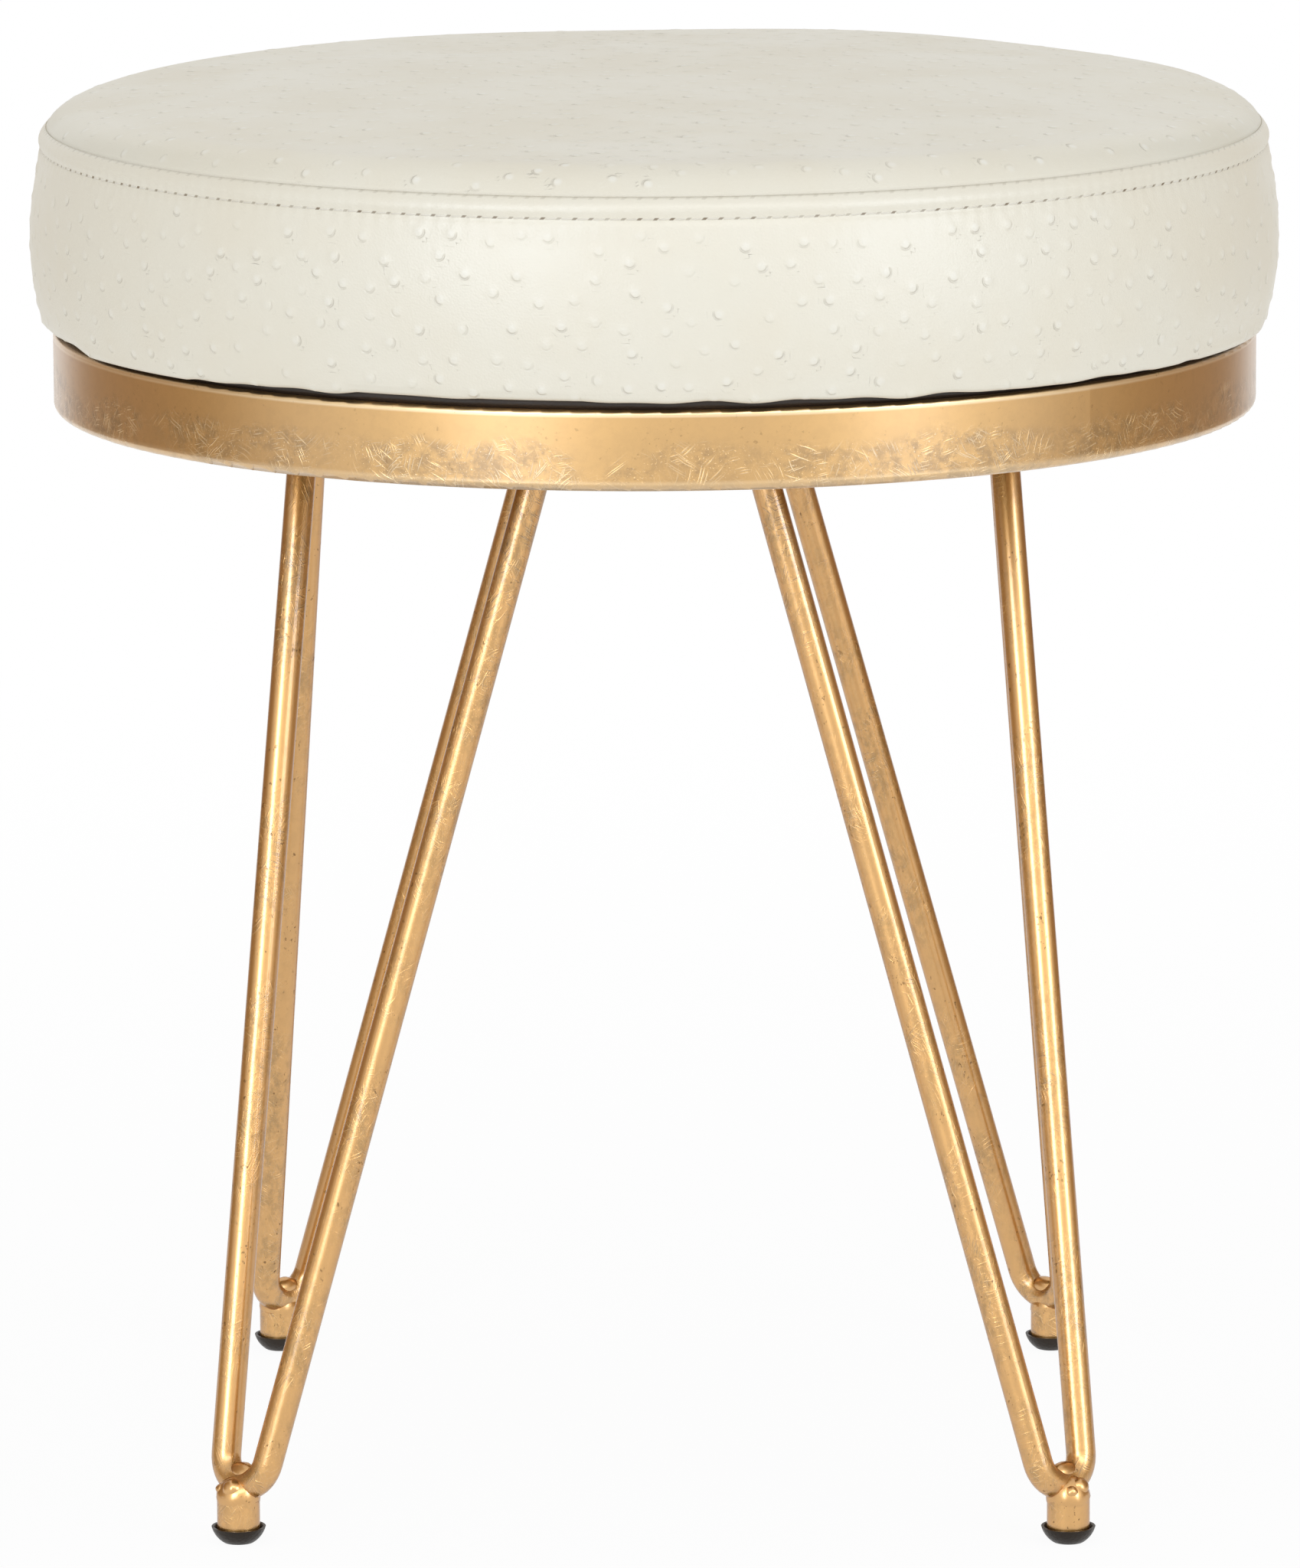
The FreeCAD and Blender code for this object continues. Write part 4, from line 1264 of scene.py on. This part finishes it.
def sew_stitch(stitch):
    """One stitch: a tube of thread, low and thin at both ends."""
    middle = (stitch + 1.0) / STITCH_COUNT * 2 * math.pi
    points = []
    for share in np.linspace(-1, 1, THREAD_RINGS):
        turn = middle + share * STITCH_LENGTH / 2 * 2 * math.pi / STITCH_COUNT
        girth = THREAD_RADIUS * (1 - STITCH_TAPER * share ** 6)
        centre_r = side_r - GROOVE_DEPTH + THREAD_RADIUS * THREAD_SHOWN - STITCH_DIVE * share ** 4
        centre_z = stitch_z + STITCH_SLANT * share
        for angle in even_turns(THREAD_SIDES):
            radius = centre_r + girth * math.cos(angle)
            height = centre_z + girth * math.sin(angle)
            points.append((radius * math.cos(turn), radius * math.sin(turn), height))
    last = (THREAD_RINGS - 1) * THREAD_SIDES
    ends = [tuple(range(THREAD_SIDES)), tuple(range(last + THREAD_SIDES - 1, last - 1, -1))]
    return points, grid_faces(THREAD_RINGS, THREAD_SIDES) + ends


stitches = [sew_stitch(stitch) for stitch in range(STITCH_COUNT)]
make_piece("topstitch_thread", *gather(stitches), thread_cotton, "cream_leather")
print("topstitch:", STITCH_COUNT, "stitches of", round(STITCH_PITCH, 2), "mm")

# %% [markdown]
# ## Foam
# The foam shows only if the cover is taken off, but it is a piece of its own: it fills the cover
# and laps over the edge of the board. It is turned from the same corners, further in by the leather
# and its lining.

# %% Cut the foam
FOAM_CLEARANCE = 4.0
FOAM_SPACING = 7.0
FOAM_SIDES = 160
BOARD_GAP = 0.4
BOARD_REST = 0.3


def cut_foam():
    """The foam pad, closed, with its rebate over the board."""
    inner = inset_cushion(FOAM_SPACING, FOAM_CLEARANCE)
    low_z = ring_top + FOAM_CLEARANCE
    inner = inner[(inner[:, 1] > low_z) & (inner[:, 0] <= widest_r)]
    rebate_r = board_r + BOARD_GAP
    rest_z = board_top + BOARD_REST
    closing = ((rebate_r, low_z), (rebate_r, rest_z), (0, rest_z))
    points, faces = turned_shape(np.concatenate((inner, closing)), FOAM_SIDES)
    flat = [False] * len(faces)
    foam = make_piece("foam_pad", points, faces, seat_foam_finish, "foam", smooth=flat)
    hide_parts("seat_foam")
    print("foam pad:", len(faces), "faces")


cut_foam()

# %% [markdown]
# ## Weld beads
# Each hairpin is welded to its foot tube by hand, and the bead is left lumpy under the leaf. A
# dome of points is pushed in and out by noise, so that it wraps the bend and the top of the tube,
# with smaller lumps on it and a web in the crook of the bend.

# %% Lay the weld beads
BEAD_RINGS = 14
BEAD_SIDES = 40
LUMP_NOISE = (0.9, 2.0, 3)
WEB_THICK = 3.6
WEB_WIDE = 6.4


def lumpy_ball(centre, radii, lump, scale, seed):
    """Points and faces of a ball squashed to three radii, pushed about by noise."""
    points = [centre + Vector((0, 0, radii[2]))]
    for ring in range(1, BEAD_RINGS):
        tilt = math.pi * ring / BEAD_RINGS
        for turn in even_turns(BEAD_SIDES):
            way = Vector((math.sin(tilt) * math.cos(turn), math.sin(tilt) * math.sin(turn), math.cos(tilt)))
            push = 1 + lump * noise.fractal(way * scale + Vector((seed, 0, 0)), *LUMP_NOISE)
            points.append(centre + Vector(way[axis] * radii[axis] * push for axis in range(3)))
    points.append(centre - Vector((0, 0, radii[2])))
    return points, capped_faces(BEAD_RINGS - 1, BEAD_SIDES)


def lay_foot_bead(leg):
    """The bead between a bend and its foot tube: the dome, two smaller lumps and the web."""
    low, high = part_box(f"leg_{leg}_stub")
    middle = (low + high) / 2 / MM
    out = Vector((middle.x, middle.y, 0)).normalized()
    side = Vector((-out.y, out.x, 0))
    up = Vector((0, 0, 1))
    crest = Vector((middle.x, middle.y, high.z / MM))
    web = [abs(out[axis]) * WEB_THICK + abs(side[axis]) * WEB_WIDE for axis in range(2)]
    shapes = [
        lumpy_ball(crest - up * 1.2, (7.4, 7.4, 7.2), 0.05, 1.6, 7.0 * leg),
        lumpy_ball(crest + out * 3.4 + side * 1.2 + up * 2.2, (3.6, 3.6, 3.3), 0.05, 1.4, 19.0 + leg),
        lumpy_ball(crest + out * 4.2 - side * 3.0 + up * 1.4, (2.4, 2.4, 2.2), 0.08, 1.6, 27.0 + leg),
        lumpy_ball(crest - out * 2.6 + up * 6.4, (*web, WEB_THICK), 0.05, 1.6, 43.0 + leg),
    ]
    bead = make_piece(f"leg_{leg}_foot_bead", *gather(shapes), bead_gold, "gold_leaf")
    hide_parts(f"leg_{leg}_weld")


for leg in LEGS:
    lay_foot_bead(leg)
print("laid", len(LEGS), "foot beads")

# %% [markdown]
# ## Screws
# The screws under the seat are ordinary zinc-plated ones with a low round head and a cross
# recess. A head is a disc of points, domed, with the cross pressed into it.

# %% Drive the screws
HEAD_RINGS = 9
HEAD_SIDES = 32
HEAD_RADIUS = 4.25
HEAD_HEIGHT = 2.4
HEAD_ROUND = 2.6
SHANK_RADIUS = 2.0
TIP_RADIUS = 0.2
TIP_LENGTH = 3.0
CROSS_WIDTH = 0.55
CROSS_REACH = 2.2
CROSS_DEPTH = 1.2
CROSS_MIDDLE = 1.3
SCREW_APART = 12.0


def screw_shape(x, y, seat_z, tip_z):
    """One screw, head down, with its head's flat side at the seat."""
    turns = even_turns(HEAD_SIDES)
    points = [(x, y, seat_z - HEAD_HEIGHT + CROSS_MIDDLE)]
    for ring in range(1, HEAD_RINGS + 1):
        radius = HEAD_RADIUS * ring / HEAD_RINGS
        dome = HEAD_HEIGHT * math.sqrt(max(0.0, 1 - (radius / HEAD_RADIUS) ** HEAD_ROUND))
        for dx, dy, _ in around(turns) * radius:
            in_cross = radius < CROSS_REACH and min(abs(dx), abs(dy)) < CROSS_WIDTH
            points.append((x + dx, y + dy, seat_z - dome + (CROSS_DEPTH if in_cross else 0.0)))
    shank = ((SHANK_RADIUS, seat_z), (SHANK_RADIUS, tip_z - TIP_LENGTH), (TIP_RADIUS, tip_z))
    for row in turned_rows(turns, shank):
        points += (row + np.array((x, y, 0))).tolist()
    rows = HEAD_RINGS + len(shank)
    faces = flipped(fan_faces(0, 1, HEAD_SIDES) + grid_faces(rows, HEAD_SIDES, 1))
    last = 1 + (rows - 1) * HEAD_SIDES
    return points, faces + [tuple(range(last, last + HEAD_SIDES))]


def screw_places(node):
    """The middles of a node's screws, from the clusters of its points."""
    clusters = []
    for vertex in nodes[node].data.vertices:
        spot = np.array(vertex.co.xy) / MM
        near = next((known for known in clusters if np.linalg.norm(known[0] - spot) < SCREW_APART), None)
        if near is None:
            clusters.append([spot])
        else:
            near.append(spot)
    return [(np.min(spots, axis=0) + np.max(spots, axis=0)) / 2 for spots in clusters]


def drive_screws(name, node):
    """All the screws of one node."""
    low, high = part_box(node)
    shapes = [
        screw_shape(x, y, low.z / MM + HEAD_HEIGHT, high.z / MM)
        for x, y in screw_places(node)
    ]
    screws = make_piece(name, *gather(shapes), screw_zinc, "screw_steel")
    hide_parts(node)
    print(name, "holds", len(shapes), "screws")


drive_screws("ring_screw_set", "ring_screws")
drive_screws("leg_screw_set", "leg_screws")

# %% [markdown]
# ## Studio
# The bench stands on a plain white floor in soft light. The floor keeps the shadow near the bench
# and fades to plain white further out. Metal shows what stands round it, so brown cards at the two
# sides and white ones in front, which the camera can't see, give the gold its deep tones and its
# bright places, as a photographer would do. Seen from behind, the top of the seat would mirror them
# and the lamps at a low angle and turn plain white. Light linking keeps them off the top panel, and
# a matt twin of each lamp, with no reflection, lights the panel alone.

# %% Floor and world
FLOOR_WIDTH = 28.0
FADE = (0.3, 1.6)
FLOOR_WHITE = 0.94
FLOOR_MATT = colour(0.92, 0.92, 0.92)
BROWN = colour(0.38, 0.265, 0.175)
WHITE = colour(1, 1, 1)
COOL = colour(0.93, 1.0, 1.12)
WORLD_LIGHT = 0.72


def emptied(owner):
    """The node tree of a new material or world, without its nodes."""
    owner.use_nodes = True
    owner.node_tree.nodes.clear()
    return owner.node_tree


def seen_rays(tree):
    """1 for what the camera or a reflection sees, 0 for the light that falls on things."""
    rays = add_node(tree, "ShaderNodeLightPath").outputs
    seen = maths(tree, "MAXIMUM", rays["Is Camera Ray"], rays["Is Glossy Ray"])
    return maths(tree, "MAXIMUM", seen, rays["Is Transmission Ray"])


def mix_out(tree, kind, amount, first, second):
    """Mix two shaders by an amount into the tree's own output."""
    mixed = add_node(tree, "ShaderNodeMixShader", None, (amount, first.outputs[0], second.outputs[0]))
    add_node(tree, f"ShaderNodeOutput{kind}", Surface=mixed.outputs[0])


def flat_sheet(name, width, height, material):
    """A flat sheet about its own middle; sizes are in metres."""
    ends = ((-1, -1), (1, -1), (1, 1), (-1, 1))
    corners = [(x * width / 2 / MM, y * height / 2 / MM, 0) for x, y in ends]
    sheet = add_mesh(name, corners, [(0, 1, 2, 3)])
    sheet.data.materials.append(material)
    return sheet


def make_floor():
    """A white floor that keeps shadows near the bench and is plain white far from it."""
    material = bpy.data.materials.new("white_floor")
    tree = emptied(material)
    far = add_node(tree, "ShaderNodeVectorMath", {"operation": "LENGTH"}, Vector=object_place(tree))
    fade = times_plus(tree, step(tree, far.outputs["Value"], *FADE), 1 - FLOOR_WHITE, FLOOR_WHITE)
    matt = add_node(tree, "ShaderNodeBsdfDiffuse", Color=FLOOR_MATT)
    plain = add_node(tree, "ShaderNodeEmission", Color=WHITE, Strength=1.0)
    mix_out(tree, "Material", times(tree, fade, seen_rays(tree)), matt, plain)
    floor = flat_sheet("studio_floor", FLOOR_WIDTH, FLOOR_WIDTH, material)


def make_world():
    """Even light all round, which the camera and reflections see as plain white."""
    scene.world = bpy.data.worlds.new("studio")
    tree = emptied(scene.world)
    light = add_node(tree, "ShaderNodeBackground", Color=WHITE, Strength=WORLD_LIGHT)
    white = add_node(tree, "ShaderNodeBackground", Color=WHITE, Strength=1.0)
    mix_out(tree, "World", seen_rays(tree), light, white)


make_floor()
make_world()
scene.view_settings.view_transform = "Standard"
print("floor", FLOOR_WIDTH, "m wide, world light", WORLD_LIGHT)

# %% Cards and lamps
CARD_SOFT = 0.3
LAMP_AIM = 0.35
LAMP_DISTANCE = 2.6
LAMP_HEIGHT = 1.1
LAMP_TALL = 1.1


def panel_link(name, state):
    """What a light reaches: all but the top panel (EXCLUDE), or the top panel alone (INCLUDE)."""
    linked = bpy.data.collections.new(name)
    linked.objects.link(top_panel)
    linked.collection_objects[0].light_linking.link_state = state
    return linked


all_but_panel = panel_link("all_but_panel", "EXCLUDE")
panel_alone = panel_link("panel_alone", "INCLUDE")


def face_bench(thing, place, aim):
    """Put a thing at a place, facing the bench's axis at a height."""
    thing.location = place
    thing.rotation_euler = (Vector((0, 0, aim)) - place).to_track_quat("-Z", "Y").to_euler()


def make_card(name, azimuth, distance, width, height, level, aim, tone, strength):
    """A card, soft at its two sides, that only reflections see."""
    material = bpy.data.materials.new(name)
    tree = emptied(material)
    from_middle = maths(tree, "ABSOLUTE", parts(tree, object_place(tree))[0])
    plain = add_node(tree, "ShaderNodeEmission", Color=tone, Strength=strength)
    clear = add_node(tree, "ShaderNodeBsdfTransparent")
    mix_out(tree, "Material", step(tree, from_middle, width / 2 * CARD_SOFT, width / 2), plain, clear)
    card = flat_sheet(name, width, height, material)
    face_bench(card, towards(azimuth, distance, level), aim)
    card.visible_camera = False
    card.visible_diffuse = False
    card.visible_shadow = False
    card.light_linking.receiver_collection = all_but_panel


def make_lamp(name, azimuth, width, power, lit, shiny):
    """A soft rectangular lamp aimed at the bench, for what it is linked to."""
    data = bpy.data.lights.new(name, "AREA")
    data.shape = "RECTANGLE"
    data.size = width
    data.size_y = LAMP_TALL
    data.energy = power
    data.color = COOL[:3]
    lamp = add_object(name, data)
    face_bench(lamp, towards(azimuth, LAMP_DISTANCE, LAMP_HEIGHT), LAMP_AIM)
    lamp.light_linking.receiver_collection = lit
    lamp.visible_glossy = shiny


for side, azimuth in (("left", -108), ("right", 112)):
    make_card(
        f"brown_card_{side}", azimuth, distance=1.5, width=3.0, height=3.0,
        level=0.9, aim=0.9, tone=BROWN, strength=1.0)
make_card(
    "white_card_above", 8, distance=2.2, width=3.6, height=0.9,
    level=1.95, aim=0.4, tone=WHITE, strength=4.0)
for side, azimuth, width, strength in (("left", -27, 1.5, 3.2), ("right", 46, 1.2, 3.0)):
    make_card(
        f"white_card_{side}", azimuth, distance=2.9, width=width, height=2.0,
        level=0.7, aim=0.5, tone=COOL, strength=strength)
for side, azimuth, width, power in (("left", -26, 1.0, 14), ("right", 46, 0.9, 12)):
    make_lamp(f"soft_{side}", azimuth, width, power, all_but_panel, True)
    make_lamp(f"matt_{side}", azimuth, width, power, panel_alone, False)
print("studio with", len(bpy.data.lights), "lamps")
